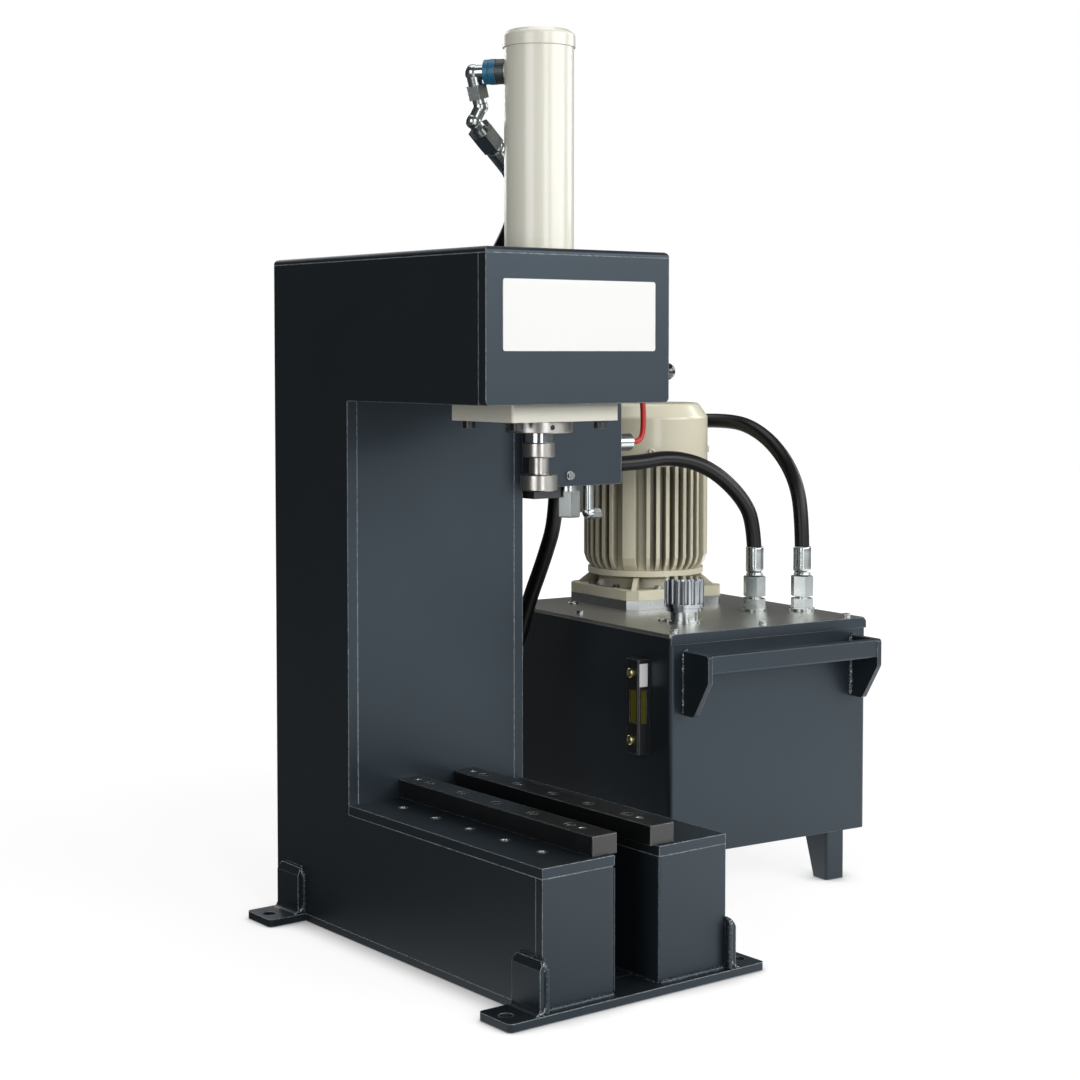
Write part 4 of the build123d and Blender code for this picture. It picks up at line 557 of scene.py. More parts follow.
@dataclass
class Shape:
    """A mesh under construction, with the few forms that this object needs."""

    mesh: bmesh.types.BMesh = field(default_factory=bmesh.new)

    def lathe(
        self, profile: Profile, start: Point, axis: Point, sides: int = 32, flats: int = 0, dent: float = 0.0,
    ) -> None:
        """Turn a profile about an axis.

        Args:
            profile: Pairs of distance along the axis and radius, in metres.
            start: Where the axis begins.
            axis: Its direction.
            sides: Number of points round the axis.
            flats: Number of shallow flats pressed into the turn, or none.
            dent: Depth of the flats as a share of the radius.
        """
        rings = self.circles(profile, start, axis, sides, flats, dent)
        self.join(rings)
        self.mesh.faces.new(list(reversed(rings[0])))
        self.mesh.faces.new(rings[-1])

    def ring(self, loop: Profile, start: Point, axis: Point = (0, 0, 1), sides: int = 28) -> None:
        """Turn a closed loop about an axis, which leaves the middle open.

        Args:
            loop: Pairs of distance along the axis and radius, in metres.
            start: Where the axis begins.
            axis: Its direction.
            sides: Number of points round the axis.
        """
        rings = self.circles(loop, start, axis, sides)
        self.join(rings + rings[:1])

    def circles(
        self, profile: Profile, start: Point, axis: Point, sides: int, flats: int = 0, dent: float = 0.0,
    ) -> list[list[bmesh.types.BMVert]]:
        """Place one circle of points for each pair of a profile.

        Args:
            profile: Pairs of distance along the axis and radius, in metres.
            start: Where the axis begins.
            axis: Its direction.
            sides: Number of points round the axis.
            flats: Number of shallow flats pressed into the turn, or none.
            dent: Depth of the flats as a share of the radius.

        Returns:
            The circles, in order.
        """
        turn = Vector((0, 0, 1)).rotation_difference(Vector(axis).normalized()).to_matrix().to_4x4()
        place = Matrix.Translation(Vector(start)) @ turn
        rings = []
        for along, radius in profile:
            ring = []
            for i in range(sides):
                angle = math.tau * i / sides
                size = radius * (1 - dent * abs(math.sin(flats * angle / 2)) ** 6) if flats else radius
                spot = Vector((size * math.cos(angle), size * math.sin(angle), along))
                ring.append(self.mesh.verts.new(place @ spot))
            rings.append(ring)
        return rings

    def join(self, rings: list[list[bmesh.types.BMVert]]) -> None:
        """Close the skin between each circle and the next.

        Args:
            rings: Circles with the same number of points.
        """
        for first, second in zip(rings, rings[1:]):
            sides = len(first)
            for i in range(sides):
                self.mesh.faces.new((first[i], first[(i + 1) % sides], second[(i + 1) % sides], second[i]))

    def bead(self, start: Point, end: Point, radius: float, pitch: float = 0.0035) -> None:
        """Lay a weld bead with its ripples from point to point.

        Args:
            start: First end of the bead.
            end: Last end of the bead.
            radius: Half of the bead's width.
            pitch: Distance from ripple to ripple.
        """
        length = (Vector(end) - Vector(start)).length
        count = max(6, round(length / pitch * 3))
        profile = [(0.0, radius * BEAD_TIP)]
        for i in range(1, count):
            along = length * i / count
            ripple = BEAD_RIPPLE * math.sin(math.tau * along / pitch)
            wander = BEAD_WANDER * math.sin(along * BEAD_WANDER_RATE)
            profile.append((along, radius * (1 + ripple + wander)))
        profile.append((length, radius * BEAD_TIP))
        self.lathe(profile, start, tuple(Vector(end) - Vector(start)), sides=10)

    def prism(self, corners: list[Point], low: float, high: float, upright: bool = False) -> None:
        """Raise an outline with rounded corners into a solid plate.

        Args:
            corners: The outline's corners in millimetres, each with its radius.
            low: Where the plate begins.
            high: Where it ends.
            upright: Whether the outline lies in the XZ plane, else in the XY plane.
        """
        outline = []
        for i, (x, y, radius) in enumerate(corners):
            here = Vector((x, y))
            before = (Vector(corners[i - 1][:2]) - here).normalized()
            after = (Vector(corners[(i + 1) % len(corners)][:2]) - here).normalized()
            if not radius:
                outline.append(here)
                continue
            half = before.angle(after) / 2
            middle = here + (before + after).normalized() * radius / math.sin(half)
            first = here + before * radius / math.tan(half) - middle
            last = here + after * radius / math.tan(half) - middle
            sweep = first.angle_signed(last)
            for step in range(CORNER_STEPS + 1):
                share = sweep * step / CORNER_STEPS
                turned = Vector((
                    first.x * math.cos(share) + first.y * math.sin(share),
                    first.y * math.cos(share) - first.x * math.sin(share),
                ))
                outline.append(middle + turned)
        skins = []
        for level in (low, high):
            places = [(u, level, v) if upright else (u, v, level) for u, v in outline]
            skins.append([self.mesh.verts.new(Vector(place) * MM) for place in places])
        self.join([skins[0], skins[1]])
        self.mesh.faces.new(skins[0])
        self.mesh.faces.new(list(reversed(skins[1])))

    def finish(self, name: str, smooth: bool = True, place: Matrix | None = None) -> bpy.types.Mesh:
        """Close the work and hand over the mesh.

        Args:
            name: Name of the mesh.
            smooth: Whether its faces are shaded smooth.
            place: Where the shape goes, when it was built in a frame of its own.

        Returns:
            The mesh.
        """
        bmesh.ops.recalc_face_normals(self.mesh, faces=self.mesh.faces)
        if place is not None:
            self.mesh.transform(place)
        data = bpy.data.meshes.new(name)
        self.mesh.to_mesh(data)
        self.mesh.free()
        data.polygons.foreach_set("use_smooth", [smooth] * len(data.polygons))
        return data


@dataclass
class PhotoCamera:
    """Camera at the photograph's place and angle."""

    place: Point = (-1.2560, -1.7155, 0.6217)
    azimuth: float = -37.5
    pitch: float = 2.8
    lens_mm: float = 68.15
    shift_up: float = -0.082

    def build(self) -> None:
        """Make the camera and set it as the scene's camera."""
        data = bpy.data.cameras.new("photo_camera")
        data.lens = self.lens_mm
        data.sensor_width = 36.0
        data.sensor_fit = "HORIZONTAL"
        data.shift_y = self.shift_up
        data.clip_start = 0.05
        camera = bpy.data.objects.new("photo_camera", data)
        bpy.context.scene.collection.objects.link(camera)
        camera.location = self.place
        camera.rotation_euler = (math.radians(90 - self.pitch), 0, math.radians(self.azimuth))
        bpy.context.scene.camera = camera


@dataclass(frozen=True)
class Lamp:
    """A soft oblong lamp: where it hangs, what it faces, its width and height in metres and its watts."""

    name: str
    place: Point
    target: Point
    size: tuple[float, float]
    power: float

    def build(self) -> None:
        """Hang the lamp."""
        data = bpy.data.lights.new(self.name, "AREA")
        data.shape = "RECTANGLE"
        data.size, data.size_y = self.size
        data.energy = self.power
        lamp = bpy.data.objects.new(self.name, data)
        bpy.context.scene.collection.objects.link(lamp)
        lamp.location = self.place
        lamp.rotation_euler = (Vector(self.target) - Vector(self.place)).to_track_quat("-Z", "Y").to_euler()


@dataclass
class Studio:
    """Pale floor, white surround and soft lamps, the main one straight in front of the press."""

    floor_size: float = 14.0
    floor_level: float = -0.0005
    dim_side: float = 0.08
    bright_side: float = 0.22
    # Towards the front right, where the surround and the floor's painted reflection are brightest.
    front_right: Point = (0.75, -0.66, 0.0)
    # The seen floor rises from its near glow to full white between these distances.
    near_glow: float = 0.86
    glow_reach: tuple[float, float] = (0.7, 3.0)
    # The floor's glow that only glossy faces see, a painted reflection: its strength, and the distances over which it
    # fades.
    painted_reflection_glow: float = 2.0
    painted_reflection_fade: tuple[float, float] = (2.2, 4.2)
    # The painted contact shadow, a soft dark line where the press stands on the floor.
    contact_shadow_reach: float = 0.045
    contact_shadow_least: float = 0.25
    lamps: tuple[Lamp, ...] = (
        Lamp("front_panel", (1.6, -3.0, 1.62), (0.15, 0.0, 0.42), (3.2, 1.7), 94.0),
        Lamp("front_strip", (-0.75, -3.0, 1.1), (0.1, 0.0, 0.5), (0.8, 2.1), 24.0),
        Lamp("left_panel", (-2.8, -1.2, 1.0), (0.1, 0.1, 0.5), (1.5, 2.0), 36.0),
        Lamp("right_panel", (3.0, -0.4, 1.6), (0.2, 0.0, 0.5), (1.4, 1.4), 24.0),
        Lamp("top_panel", (0.2, 0.3, 3.0), (0.1, 0.0, 0.3), (2.0, 2.0), 26.0),
        Lamp("rear_panel", (0.5, 3.2, 1.8), (0.1, 0.0, 0.4), (1.8, 1.8), 26.0),
    )

    def build(self) -> None:
        """Make the floor, the world and the lamps."""
        bpy.context.scene.view_settings.view_transform = "Standard"
        self.world()
        self.floor()
        for lamp in self.lamps:
            lamp.build()

    def world(self) -> None:
        """Light the scene dimly from the left and more from the right, with white where the camera looks past."""
        world = bpy.data.worlds.new("studio_air")
        bpy.context.scene.world = world
        world.use_nodes = True
        tree = world.node_tree
        tree.nodes.clear()
        path = add_node(tree, "ShaderNodeLightPath")
        seen = add_node(
            tree, "ShaderNodeMath", {"operation": "MAXIMUM"},
            {0: path.outputs["Is Camera Ray"], 1: path.outputs["Is Transmission Ray"]},
        )
        way = add_node(tree, "ShaderNodeTexCoord").outputs["Generated"]
        side = add_node(tree, "ShaderNodeVectorMath", {"operation": "DOT_PRODUCT", 1: self.front_right}, {0: way})
        level = add_node(
            tree, "ShaderNodeMapRange",
            {"From Min": -0.4, "From Max": 0.6, "To Min": self.dim_side, "To Max": self.bright_side},
            {"Value": side.outputs["Value"]},
        )
        dim = add_node(tree, "ShaderNodeBackground", {"Color": linear("#eef1f4")}, {"Strength": level.outputs[0]})
        white = add_node(tree, "ShaderNodeBackground", {"Color": (1, 1, 1, 1), "Strength": 1.0})
        mixed = add_node(
            tree, "ShaderNodeMixShader", {}, {0: seen.outputs[0], 1: dim.outputs[0], 2: white.outputs[0]},
        )
        add_node(tree, "ShaderNodeOutputWorld", {}, {"Surface": mixed.outputs[0]})

    def floor(self) -> None:
        """Make the pale floor, which keeps the object's shadow."""
        shape = Shape()
        half = self.floor_size / 2
        corners = ((-half, -half), (half, -half), (half, half), (-half, half))
        shape.mesh.faces.new([shape.mesh.verts.new((x, y, self.floor_level)) for x, y in corners])
        floor = bpy.data.objects.new("floor", shape.finish("floor", smooth=False))
        bpy.context.scene.collection.objects.link(floor)
        floor.data.materials.append(self.floor_material())

    def floor_material(self) -> bpy.types.Material:
        """Make the floor's matt grey, which glows white to the camera with a painted contact shadow where the press
        stands, and glows to glossy faces as a painted reflection.

        Returns:
            The material.
        """
        material = bpy.data.materials.new("pale_studio_floor")
        material.use_nodes = True
        tree = material.node_tree
        tree.nodes.clear()
        path = add_node(tree, "ShaderNodeLightPath")
        matt = add_node(tree, "ShaderNodeBsdfDiffuse", {"Color": linear("#707070"), "Roughness": 1.0})
        place = add_node(tree, "ShaderNodeTexCoord").outputs["Object"]
        reach = add_node(tree, "ShaderNodeVectorMath", {"operation": "LENGTH"}, {0: place})
        near, far = self.glow_reach
        level = add_node(
            tree, "ShaderNodeMapRange", {"From Min": near, "From Max": far, "To Min": self.near_glow, "To Max": 1.0},
            {"Value": reach.outputs["Value"]},
        )
        seen = add_node(
            tree, "ShaderNodeMath", {"operation": "MULTIPLY"},
            {0: path.outputs["Is Camera Ray"], 1: level.outputs[0]},
        )
        # Painted contact shadow where the press stands.
        hidden = add_node(tree, "ShaderNodeAmbientOcclusion", {"samples": 8, "Distance": self.contact_shadow_reach})
        contact_shadow = add_node(
            tree, "ShaderNodeMapRange",
            {"From Min": 0.4, "From Max": 0.9, "To Min": self.contact_shadow_least, "To Max": 1.0},
            {"Value": hidden.outputs["AO"]},
        )
        glow_with_contact_shadow = add_node(
            tree, "ShaderNodeMath", {"operation": "MULTIPLY"}, {0: seen.outputs[0], 1: contact_shadow.outputs[0]},
        )
        # Painted reflection: the glow that glossy faces see, brighter towards the front right.
        side = add_node(tree, "ShaderNodeVectorMath", {"operation": "DOT_PRODUCT", 1: self.front_right}, {0: place})
        gloss_level = add_node(
            tree, "ShaderNodeMapRange", {"From Min": -0.3, "From Max": 0.7, "To Max": self.painted_reflection_glow},
            {"Value": side.outputs["Value"]},
        )
        painted_reflection = add_node(
            tree, "ShaderNodeMath", {"operation": "MULTIPLY"},
            {0: path.outputs["Is Glossy Ray"], 1: gloss_level.outputs[0]},
        )
        full, gone = self.painted_reflection_fade
        fade = add_node(
            tree, "ShaderNodeMapRange", {"From Min": full, "From Max": gone, "To Min": 1.0, "To Max": 0.0},
            {"Value": reach.outputs["Value"]},
        )
        fading = add_node(
            tree, "ShaderNodeMath", {"operation": "MULTIPLY"}, {0: painted_reflection.outputs[0], 1: fade.outputs[0]},
        )
        strength = add_node(
            tree, "ShaderNodeMath", {"operation": "ADD"}, {0: glow_with_contact_shadow.outputs[0], 1: fading.outputs[0]},
        )
        glow = add_node(tree, "ShaderNodeEmission", {"Color": (1, 1, 1, 1)}, {"Strength": strength.outputs[0]})
        lit = add_node(tree, "ShaderNodeAddShader", {}, {0: matt.outputs[0], 1: glow.outputs[0]})
        add_node(tree, "ShaderNodeOutputMaterial", {}, {"Surface": lit.outputs[0]})
        return material


@dataclass
class Hose:
    """One hose or cable: its thickness and length in metres, its finish, and its route in millimetres."""

    name: str
    node: str
    diameter: float
    length: float
    finish: Finish
    slot: str
    points: list[Point]

    def build(self, palette: Palette) -> bpy.types.Object:
        """Args:
            palette: Gives the materials.

        Returns:
            The hose.
        """
        data = bpy.data.curves.new(self.name, "CURVE")
        data.dimensions = "3D"
        data.bevel_depth = self.diameter / 2
        data.bevel_resolution = 8
        data.resolution_u = 16
        data.use_fill_caps = True
        spline = data.splines.new("NURBS")
        spline.points.add(len(self.points) - 1)
        for point, (x, y, z) in zip(spline.points, self.points):
            point.co = (*metres((x, y, z)), 1.0)
        spline.order_u = 3
        spline.use_endpoint_u = True
        hose = bpy.data.objects.new(self.name, data)
        bpy.context.scene.collection.objects.link(hose)
        data.materials.append(palette.get(self.finish))
        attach(hose, "press")
        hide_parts(self.node)
        log.info("laid %s", self.name)
        return hose


SUPPLY_ROUTE: list[Point] = [
    (451.65, 82.98, 356.0), (451.65, 82.98, 413.0), (434.0, 90.0, 449.0), (395.0, 104.0, 484.0),
    (346.0, 118.0, 497.0), (296.0, 124.0, 490.0), (236.0, 124.0, 490.0),
]
RETURN_ROUTE: list[Point] = [
    (500.01, 50.64, 356.0), (500.01, 50.64, 413.0), (501.0, 62.0, 465.0), (501.0, 98.0, 506.0),
    (501.0, 145.0, 530.0), (502.0, 195.0, 535.0), (502.0, 235.0, 533.0),
]
CYLINDER_ROUTE: list[Point] = [
    (-6.36, -10.84, 829.83), (33.12, 0.06, 801.15), (45.0, 22.0, 762.0), (44.0, 56.0, 720.0),
    (32.0, 92.0, 676.0), (14.0, 122.0, 630.0), (-6.0, 146.0, 582.0), (-21.0, 161.0, 528.0),
    (-31.0, 171.0, 471.0), (-36.0, 178.0, 413.0), (-39.0, 184.0, 354.0), (-36.0, 196.0, 296.0),
    (-29.0, 222.0, 244.0), (-7.0, 262.0, 206.0), (38.0, 291.0, 183.0), (96.0, 301.0, 177.0),
    (152.0, 291.0, 192.0), (193.0, 265.0, 227.0), (208.0, 234.0, 274.0), (201.0, 206.0, 325.0),
    (204.0, 180.0, 377.0), (206.0, 158.0, 430.0), (206.0, 158.0, 487.0),
]
CABLE_ROUTE: list[Point] = [
    (271.0, 100.0, 517.0), (281.5, 100.0, 517.0), (287.5, 100.0, 524.5), (289.0, 100.0, 538.0),
    (288.0, 100.0, 562.0), (283.0, 99.0, 598.0), (264.0, 97.0, 631.0), (228.0, 94.0, 648.0),
    (178.0, 92.0, 650.0), (128.0, 92.0, 648.0), (96.0, 92.0, 648.0),
]


# Distance along the axis and radius in millimetres. First a ferrule: rolled collar, groove, pressed sleeve.
FERRULE: Profile = [
    (0.0, 8.4), (0.5, 9.6), (1.4, 10.2), (3.0, 10.2), (3.8, 9.5), (5.0, 9.4), (5.8, 10.3), (7.2, 10.7),
    (9.0, 10.75), (12.0, 10.7), (20.0, 10.6), (28.0, 10.6), (33.0, 10.7), (34.6, 10.6), (35.5, 10.1), (36.0, 9.3),
]
# The countersunk mouth of a tapped hole in the base top.
DECK_MOUTH: Profile = [(0.04, 5.50), (-1.16, 4.24), (-1.05, 4.14), (0.08, 5.25)]
# The bare rims of the rails' counterbores, then of their tapped stop holes.
COUNTERBORE_RIM: Profile = [
    (-2.6, 5.62), (-0.3, 5.66), (0.06, 6.0), (0.06, 6.35), (-0.02, 6.35), (-0.02, 5.79), (-2.6, 5.79),
]
STOP_HOLE_RIM: Profile = [(-1.2, 3.30), (0.05, 3.30), (0.05, 3.70), (-0.02, 3.70), (-0.02, 3.39), (-1.2, 3.39)]
# A spanner hole in the gland ring, filled dark.
GLAND_SOCKET: Profile = [(0.0, 2.5), (1.4, 2.5), (1.6, 2.2)]
# A pan head screw in the motor's fan cover, with its recess.
COVER_SCREW: Profile = [(-0.5, 4.2), (1.6, 4.2), (2.4, 3.4), (2.6, 1.6), (1.4, 1.4)]
# A low plug in the tank's lid, with its recess.
LID_PLUG: Profile = [(-0.4, 6.4), (1.4, 6.4), (2.2, 5.9), (2.4, 2.4), (1.2, 2.0)]


@dataclass
class HoseSet:
    """The three hoses, the switch cable and the crimped ferrules on the hoses."""

    diameter: float = 0.018
    cable_diameter: float = 0.0066
    supply_length: float = 0.3126
    return_length: float = 0.3055
    cylinder_length: float = 1.2506
    cable_length: float = 0.3014
    crimp_facets: int = 8
    crimp_depth: float = 0.035
    ferrule_places: tuple[tuple[Point, Point], ...] = (
        ((451.65, 82.98, 350.0), (0, 0, 1)),
        ((500.01, 50.64, 350.0), (0, 0, 1)),
        ((230.0, 124.0, 490.0), (1, 0, 0)),
        ((-11.10, -12.14, 833.28), (0.7896, 0.2179, -0.5737)),
        ((206.0, 158.0, 493.0), (0, 0, -1)),
    )

    def build(self, palette: Palette) -> None:
        """Lay every hose and the cable, and crimp the ferrules.

        Args:
            palette: Gives the materials.
        """
        for name, node, length, route in (
            ("supply_line", "supply_hose", self.supply_length, SUPPLY_ROUTE),
            ("return_line", "return_hose", self.return_length, RETURN_ROUTE),
            ("cylinder_line", "cylinder_hose", self.cylinder_length, CYLINDER_ROUTE),
        ):
            Hose(name, node, self.diameter, length, HOSE_RUBBER, "hose_rubber", route).build(palette)
        Hose(
            "switch_lead", "switch_cable", self.cable_diameter, self.cable_length, CABLE_SHEATH, "red_sheath",
            CABLE_ROUTE,
        ).build(palette)
        self.ferrules(palette)

    def ferrules(self, palette: Palette) -> None:
        """Make the ferrules, whose sleeves are pressed to eight soft facets.

        Args:
            palette: Gives the materials.
        """
        shape = Shape()
        for start, axis in self.ferrule_places:
            shape.lathe(
                profile_in_metres(FERRULE), metres(start), axis, sides=48, flats=self.crimp_facets,
                dent=self.crimp_depth,
            )
        piece = new_piece("crimped_ferrules", shape.finish("crimped_ferrules"), palette.get(ZINC_PLATE))
        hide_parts("hose_ferrules")


@dataclass
class FrameDetails:
    """Label plate, base shells, welds, hole edges and port sleeve of the press, in millimetres."""

    label_low: Point = (-95.0, -144.9, 622.0)
    label_high: Point = (96.0, -143.9, 691.5)
    label_corner: float = 2.5
    half_width: float = 115.0
    foot_rows: tuple[float, float] = (-217.0, 217.0)
    foot_top: float = 8.0
    gusset_half: float = 22.0
    gusset_top: float = 58.0
    base_front: float = -232.0
    column_front: float = 103.0
    slot_half: float = 28.0
    wall: float = 10.0
    fold: float = 3.0
    bottom_reach: float = 192.0
    shell_top: float = 133.0
    deck_top: float = 143.0
    deck_row: float = 75.0
    deck_places: tuple[float, ...] = (-180.0, -120.0, -60.0, 0.0, 60.0)
    deck_drill: float = 4.25
    rail_top: float = 163.0
    rail_row: float = 36.0
    rail_screw_places: tuple[float, ...] = (-173.0, -113.0, -53.0, 7.0, 67.0)
    rail_stop_places: tuple[float, ...] = (-193.0, 87.0)
    rail_stop_drill: float = 3.4
    thread_start: float = 1.2
    thread_turns: int = 6
    gland_middle: Point = (0.0, -77.0, 546.0)
    gland_radius: float = 34.0
    gland_first_angle: float = -104.0
    socket_depth: float = 3.2
    port_middle: Point = (0.0, -77.0, 903.0)
    port_angle: float = 128.0
    port_boss: float = 12.02
    port_edge: float = 0.6
    upright_bead: float = 2.5
    gusset_bead: float = 1.8
    front_bead: float = 3.2
    slot_bead: float = 2.0
    fold_bead: float = 0.9

    def build(self, palette: Palette) -> None:
        """Make every piece of the press that the solids leave to this script.

        Args:
            palette: Gives the materials.
        """
        self.label(palette)
        self.shells(palette)
        self.hole_edges(palette)
        self.gland_sockets(palette)
        self.port_sleeve(palette)
        for name, finish, seams in (
            ("frame_welds", PAINTED_WELD, self.seams()), ("weld_ends", WELD, self.weld_ends()),
        ):
            shape = Shape()
            for start, end, radius in seams:
                shape.bead(metres(start), metres(end), radius * MM)
            new_piece(name, shape.finish(name), palette.get(finish))

    def label(self, palette: Palette) -> None:
        """Make the white plate on the head.

        Args:
            palette: Gives the materials.
        """
        shape = Shape()
        (left, back, bottom), (right, front, top) = self.label_low, self.label_high
        corner = self.label_corner
        shape.prism(
            [(left, bottom, corner), (right, bottom, corner), (right, top, corner), (left, top, corner)],
            back, front, upright=True,
        )
        mesh = shape.finish("label_plate", smooth=False)
        new_piece("label_plate", mesh, palette.get(POLYESTER_FILM))

    def shells(self, palette: Palette) -> None:
        """Make the base's two folded shells, with a tight fold at the slot, and the plate below them.

        Args:
            palette: Gives the materials.
        """
        shape = Shape()
        for side in (-1, 1):
            out, slot = side * self.half_width, side * self.slot_half
            inner = slot + side * self.wall
            front, back = self.base_front, self.column_front
            shape.prism(
                [(out, front, 0.0), (slot, front, self.fold), (slot, back, 0.0), (inner, back, 0.0),
                 (inner, front + self.wall, 0.0), (out, front + self.wall, 0.0)],
                self.foot_top, self.shell_top,
            )
        width, row = self.half_width, self.bottom_reach
        shape.prism(
            [(-width, -row, 0.0), (width, -row, 0.0), (width, row, 0.0), (-width, row, 0.0)], 0.0, self.foot_top,
        )
        mesh = shape.finish("folded_shells", smooth=False)
        piece = new_piece("folded_shells", mesh, palette.get(FRAME_PAINT))
        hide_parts("base_shells")

    def hole_edges(self, palette: Palette) -> None:
        """Line the tapped holes with threads and bare countersinks, and edge the rails' holes.

        Args:
            palette: Gives the materials.
        """
        edges, threads = Shape(), Shape()
        for side in (-1, 1):
            for y in self.deck_places:
                start = metres((side * self.deck_row, y, self.deck_top))
                edges.ring(profile_in_metres(DECK_MOUTH), start)
                threads.ring(self.thread(self.deck_drill, 0.6, 1.5), start)
            for y in self.rail_screw_places:
                start = metres((side * self.rail_row, y, self.rail_top))
                edges.ring(profile_in_metres(COUNTERBORE_RIM), start)
            for y in self.rail_stop_places:
                start = metres((side * self.rail_row, y, self.rail_top))
                edges.ring(profile_in_metres(STOP_HOLE_RIM), start)
                threads.ring(self.thread(self.rail_stop_drill, 0.5, 1.25), start)
        new_piece("hole_edges", edges.finish("hole_edges"), palette.get(CUT_STEEL))
        mesh = threads.finish("hole_threads", smooth=False)
        new_piece("hole_threads", mesh, palette.get(TURNED_STEEL))

    def thread(self, radius: float, depth: float, pitch: float) -> Profile:
        """Give the closed loop of a thread's teeth inside a hole.

        Args:
            radius: Radius of the drilled hole.
            depth: How far the teeth stand inward.
            pitch: Distance from tooth to tooth.

        Returns:
            Pairs of distance along the hole and radius, in metres.
        """
        first, wall = -self.thread_start, radius - 0.02
        loop = [(first, wall)]
        for i in range(self.thread_turns):
            top = first - i * pitch
            loop += [(top - pitch / 2, radius - depth), (top - pitch, radius - 0.12)]
        loop.append((first - self.thread_turns * pitch, wall))
        return profile_in_metres(loop)

    def gland_sockets(self, palette: Palette) -> None:
        """Set the four dark spanner holes into the gland ring.

        Args:
            palette: Gives the materials.
        """
        shape = Shape()
        for turn in range(4):
            angle = math.radians(self.gland_first_angle + 90 * turn)
            out = Vector((math.cos(angle), math.sin(angle), 0.0))
            start = (Vector(self.gland_middle) + out * (self.gland_radius - self.socket_depth)) * MM
            shape.lathe(profile_in_metres(GLAND_SOCKET), tuple(start), tuple(out), sides=24)
        new_piece("gland_sockets", shape.finish("gland_sockets"), palette.get(BLACKENED_IRON))

    def port_sleeve(self, palette: Palette) -> None:
        """Cover the cylinder's top port boss with its dark sleeve and the wide blue seal.

        Args:
            palette: Gives the materials.
        """
        angle = math.radians(self.port_angle)
        out = (math.cos(angle), math.sin(angle), 0.0)
        for name, finish, slot, low, high, radius in (
            ("port_sleeve", PHOSPHATED_STEEL, "turned_steel", 34.0, 43.6, 12.6),
            ("port_seal", POLYURETHANE, "blue_seal", 43.8, 50.9, 12.9),
        ):
            shape = Shape()
            boss, edge = self.port_boss, self.port_edge
            loop = [(low, boss), (low, radius), (high - edge, radius), (high, radius - edge), (high, boss)]
            shape.ring(profile_in_metres(loop), metres(self.port_middle), out, sides=40)
            new_piece(name, shape.finish(name, smooth=False), palette.get(finish))

    def seams(self) -> list[tuple[Point, Point, float]]:
        """List the painted welds of the gussets, the base's front, its slot and its folds.

        Returns:
            For each bead its two ends and its radius.
        """
        seams = []
        foot, front, half, top = self.foot_top, self.base_front, self.gusset_half, self.gusset_top
        for side in (-1, 1):
            x, slot = side * self.half_width, side * self.slot_half
            for row in self.foot_rows:
                for end in (-1, 1):
                    y = row + end * half
                    seams.append(((x, y, foot), (x, y, top - 6), self.upright_bead))
                seams.append(((x, row - half + 3, top), (x, row + half - 3, top), self.gusset_bead))
            seams += [
                ((x - side * 1.5, front, foot + 0.5), (slot + side * 1.0, front, foot + 0.5), self.front_bead),
                ((slot, front + 6, foot), (slot, self.column_front - 7, foot), self.slot_bead),
                ((slot, front + 0.9, foot + 3), (slot, front + 0.9, self.shell_top - 2), self.fold_bead),
            ]
        return seams

    def weld_ends(self) -> list[tuple[Point, Point, float]]:
        """List the bright ends of the gussets' welds.

        Returns:
            For each short bead its two ends and its radius.
        """
        ends = []
        foot, top = self.foot_top, self.gusset_top
        for side in (-1, 1):
            x = side * self.half_width
            for row in self.foot_rows:
                for end in (-1, 1):
                    y = row + end * self.gusset_half
                    near = x + side * 0.8
                    ends += [
                        ((near, y, top - 10), (x + side * 3.0, y - end * 3.0, top - 0.5), self.upright_bead),
                        ((near, y, foot + 7), (x + side * 8.5, y, foot + 0.6), self.slot_bead),
                    ]
        return ends


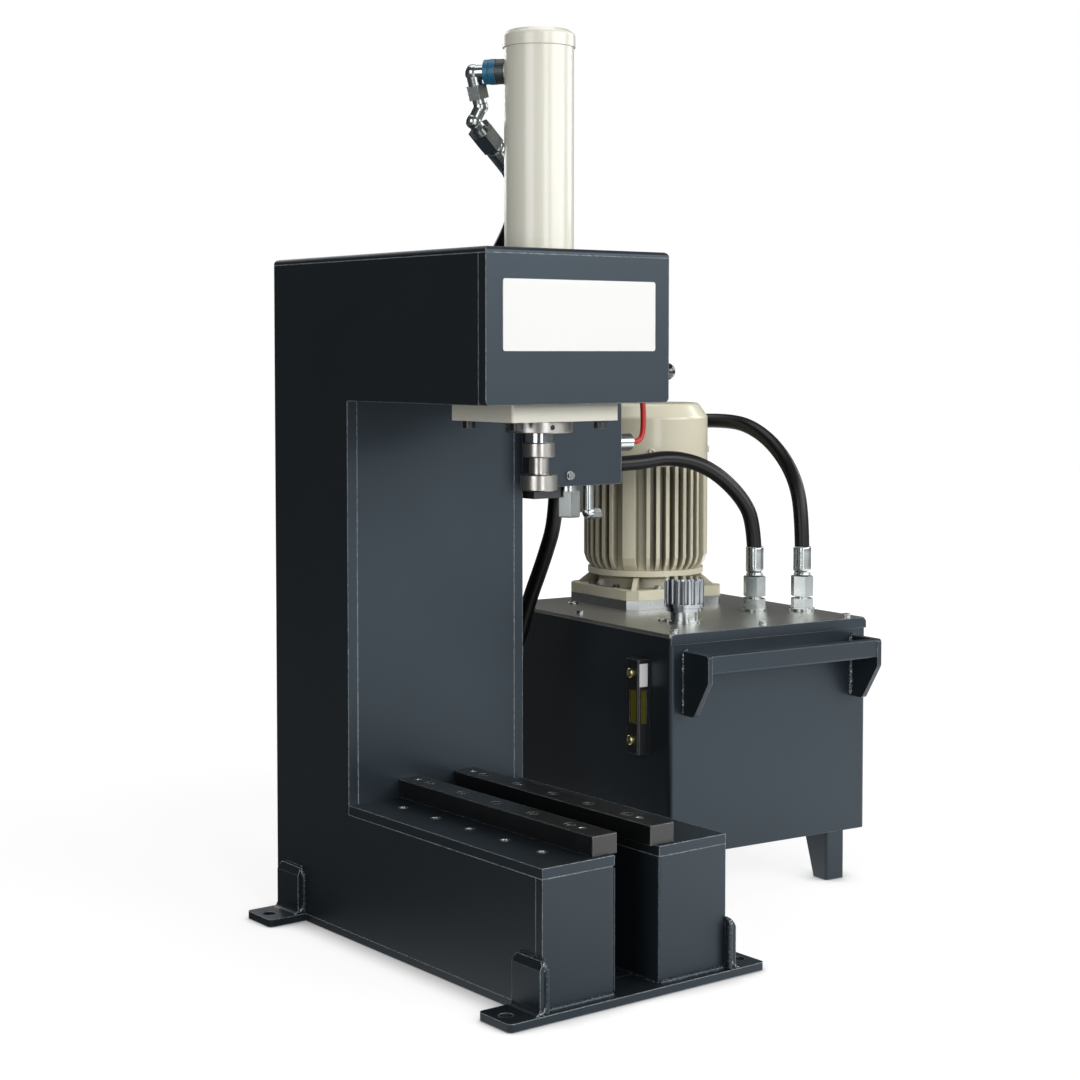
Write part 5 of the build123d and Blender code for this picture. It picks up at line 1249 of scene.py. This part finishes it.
@dataclass
class UnitDetails:
    """Small pieces on the power unit, in millimetres in the unit's own frame."""

    origin: Point = (229.0, -18.0, 0.0)
    turn: float = -5.0
    motor: tuple[float, float] = (152.0, 262.0)
    cover_radius: float = 77.0
    cover_screw_height: float = 500.0
    cover_screw_angles: tuple[float, ...] = (-120.0, -30.0, 60.0, 150.0)
    patch_low: Point = (-14.0, 39.6, 245.5)
    patch_high: Point = (-3.0, 40.0, 271.5)
    patch_corner: float = 0.4
    width: float = 285.0
    tank_top: float = 308.0
    lip_low: float = 296.0
    lip_rise: float = 0.3
    lip_front: float = -0.9
    lip_back: float = -0.05
    lip_corner: float = 6.0
    handle_low: float = 217.0
    handle_high: float = 289.0
    bracket_faces: tuple[float, float] = (17.0, 262.0)
    bracket_plate: float = 6.0
    bracket_beads: tuple[float, float] = (1.3, 2.6)
    plugs: tuple[tuple[float, float], ...] = ((65.0, 294.0), (66.0, 106.0))

    def place(self) -> Matrix:
        """Give the unit's place in the row frame."""
        return Matrix.Translation(Vector(self.origin) * MM) @ Matrix.Rotation(math.radians(self.turn), 4, "Z")

    def add(self, name: str, shape: Shape, material: bpy.types.Material, slot: str, smooth: bool = True) -> None:
        """Put a shape of the unit's own frame in the scene."""
        new_piece(name, shape.finish(name, smooth=smooth, place=self.place()), material)

    def build(self, palette: Palette) -> None:
        """Make every piece of the unit that the solids leave to this script.

        Args:
            palette: Gives the materials.
        """
        self.cover_screws(palette)
        self.gauge_patch(palette)
        self.tank_lip(palette)
        self.handle_welds(palette)
        self.lid_plugs(palette)

    def cover_screws(self, palette: Palette) -> None:
        """Set the four screws round the fan cover.

        Args:
            palette: Gives the materials.
        """
        shape = Shape()
        for angle in self.cover_screw_angles:
            out = (math.cos(math.radians(angle)), math.sin(math.radians(angle)), 0.0)
            x, y = (middle + part * self.cover_radius for middle, part in zip(self.motor, out))
            shape.lathe(profile_in_metres(COVER_SCREW), metres((x, y, self.cover_screw_height)), out, sides=20)
        self.add("cover_screws", shape, palette.get(MOTOR_ENAMEL), "machine_paint")

    def gauge_patch(self, palette: Palette) -> None:
        """Lay the small white patch on the level gauge.

        Args:
            palette: Gives the materials.
        """
        shape = Shape()
        (left, front, bottom), (right, back, top) = self.patch_low, self.patch_high
        corner = self.patch_corner
        shape.prism(
            [(left, bottom, corner), (right, bottom, corner), (right, top, corner), (left, top, corner)],
            front, back, upright=True,
        )
        self.add("gauge_patch", shape, palette.get(POLYESTER_FILM), "dark_plastic", smooth=False)

    def tank_lip(self, palette: Palette) -> None:
        """Make the tank's turned up lip, which covers the lid's front edge and is rounded at its ends.

        Args:
            palette: Gives the materials.
        """
        shape = Shape()
        low, high, corner = self.lip_low, self.tank_top + self.lip_rise, self.lip_corner
        left, right = self.lip_rise, self.width - self.lip_rise
        shape.prism(
            [(left, low, 0.0), (right, low, 0.0), (right, high, corner), (left, high, corner)],
            self.lip_front, self.lip_back, upright=True,
        )
        self.add("tank_lip", shape, palette.get(TANK_PAINT), "tank_paint", smooth=False)

    def handle_welds(self, palette: Palette) -> None:
        """Lay the bright welds round the handle's two bracket plates.

        Args:
            palette: Gives the materials.
        """
        shape = Shape()
        low, high, front = self.handle_low, self.handle_high, -0.6
        for face, radius_left in zip(self.bracket_faces, self.bracket_beads):
            other = face + self.bracket_plate
            for start, end, radius in (
                ((face - 0.4, front, low + 2), (face - 0.4, front, high - 2), radius_left),
                ((other + 0.6, front, low + 2), (other + 0.6, front, high - 2), 1.6),
                ((face - 0.5, front, high), (other + 0.5, front, high), 1.8),
            ):
                shape.bead(metres(start), metres(end), radius * MM)
        self.add("handle_welds", shape, palette.get(WELD), "tank_paint")

    def lid_plugs(self, palette: Palette) -> None:
        """Set the two low plugs in the lid.

        Args:
            palette: Gives the materials.
        """
        shape = Shape()
        for x, y in self.plugs:
            shape.lathe(profile_in_metres(LID_PLUG), metres((x, y, self.tank_top)), (0, 0, 1), sides=32)
        self.add("lid_plugs", shape, palette.get(ZINC_PLATE), "zinc_plate")


def main() -> None:
    """Load the frame, then build the camera, the studio, the hoses and every piece."""
    logging.basicConfig(level=logging.INFO, format="%(name)s: %(message)s")
    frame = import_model()
    PhotoCamera().build()
    Studio().build()
    palette = Palette()
    HoseSet().build(palette)
    palette.dress_nodes(frame)
    FrameDetails().build(palette)
    UnitDetails().build(palette)


if __name__ == "__main__":
    main()
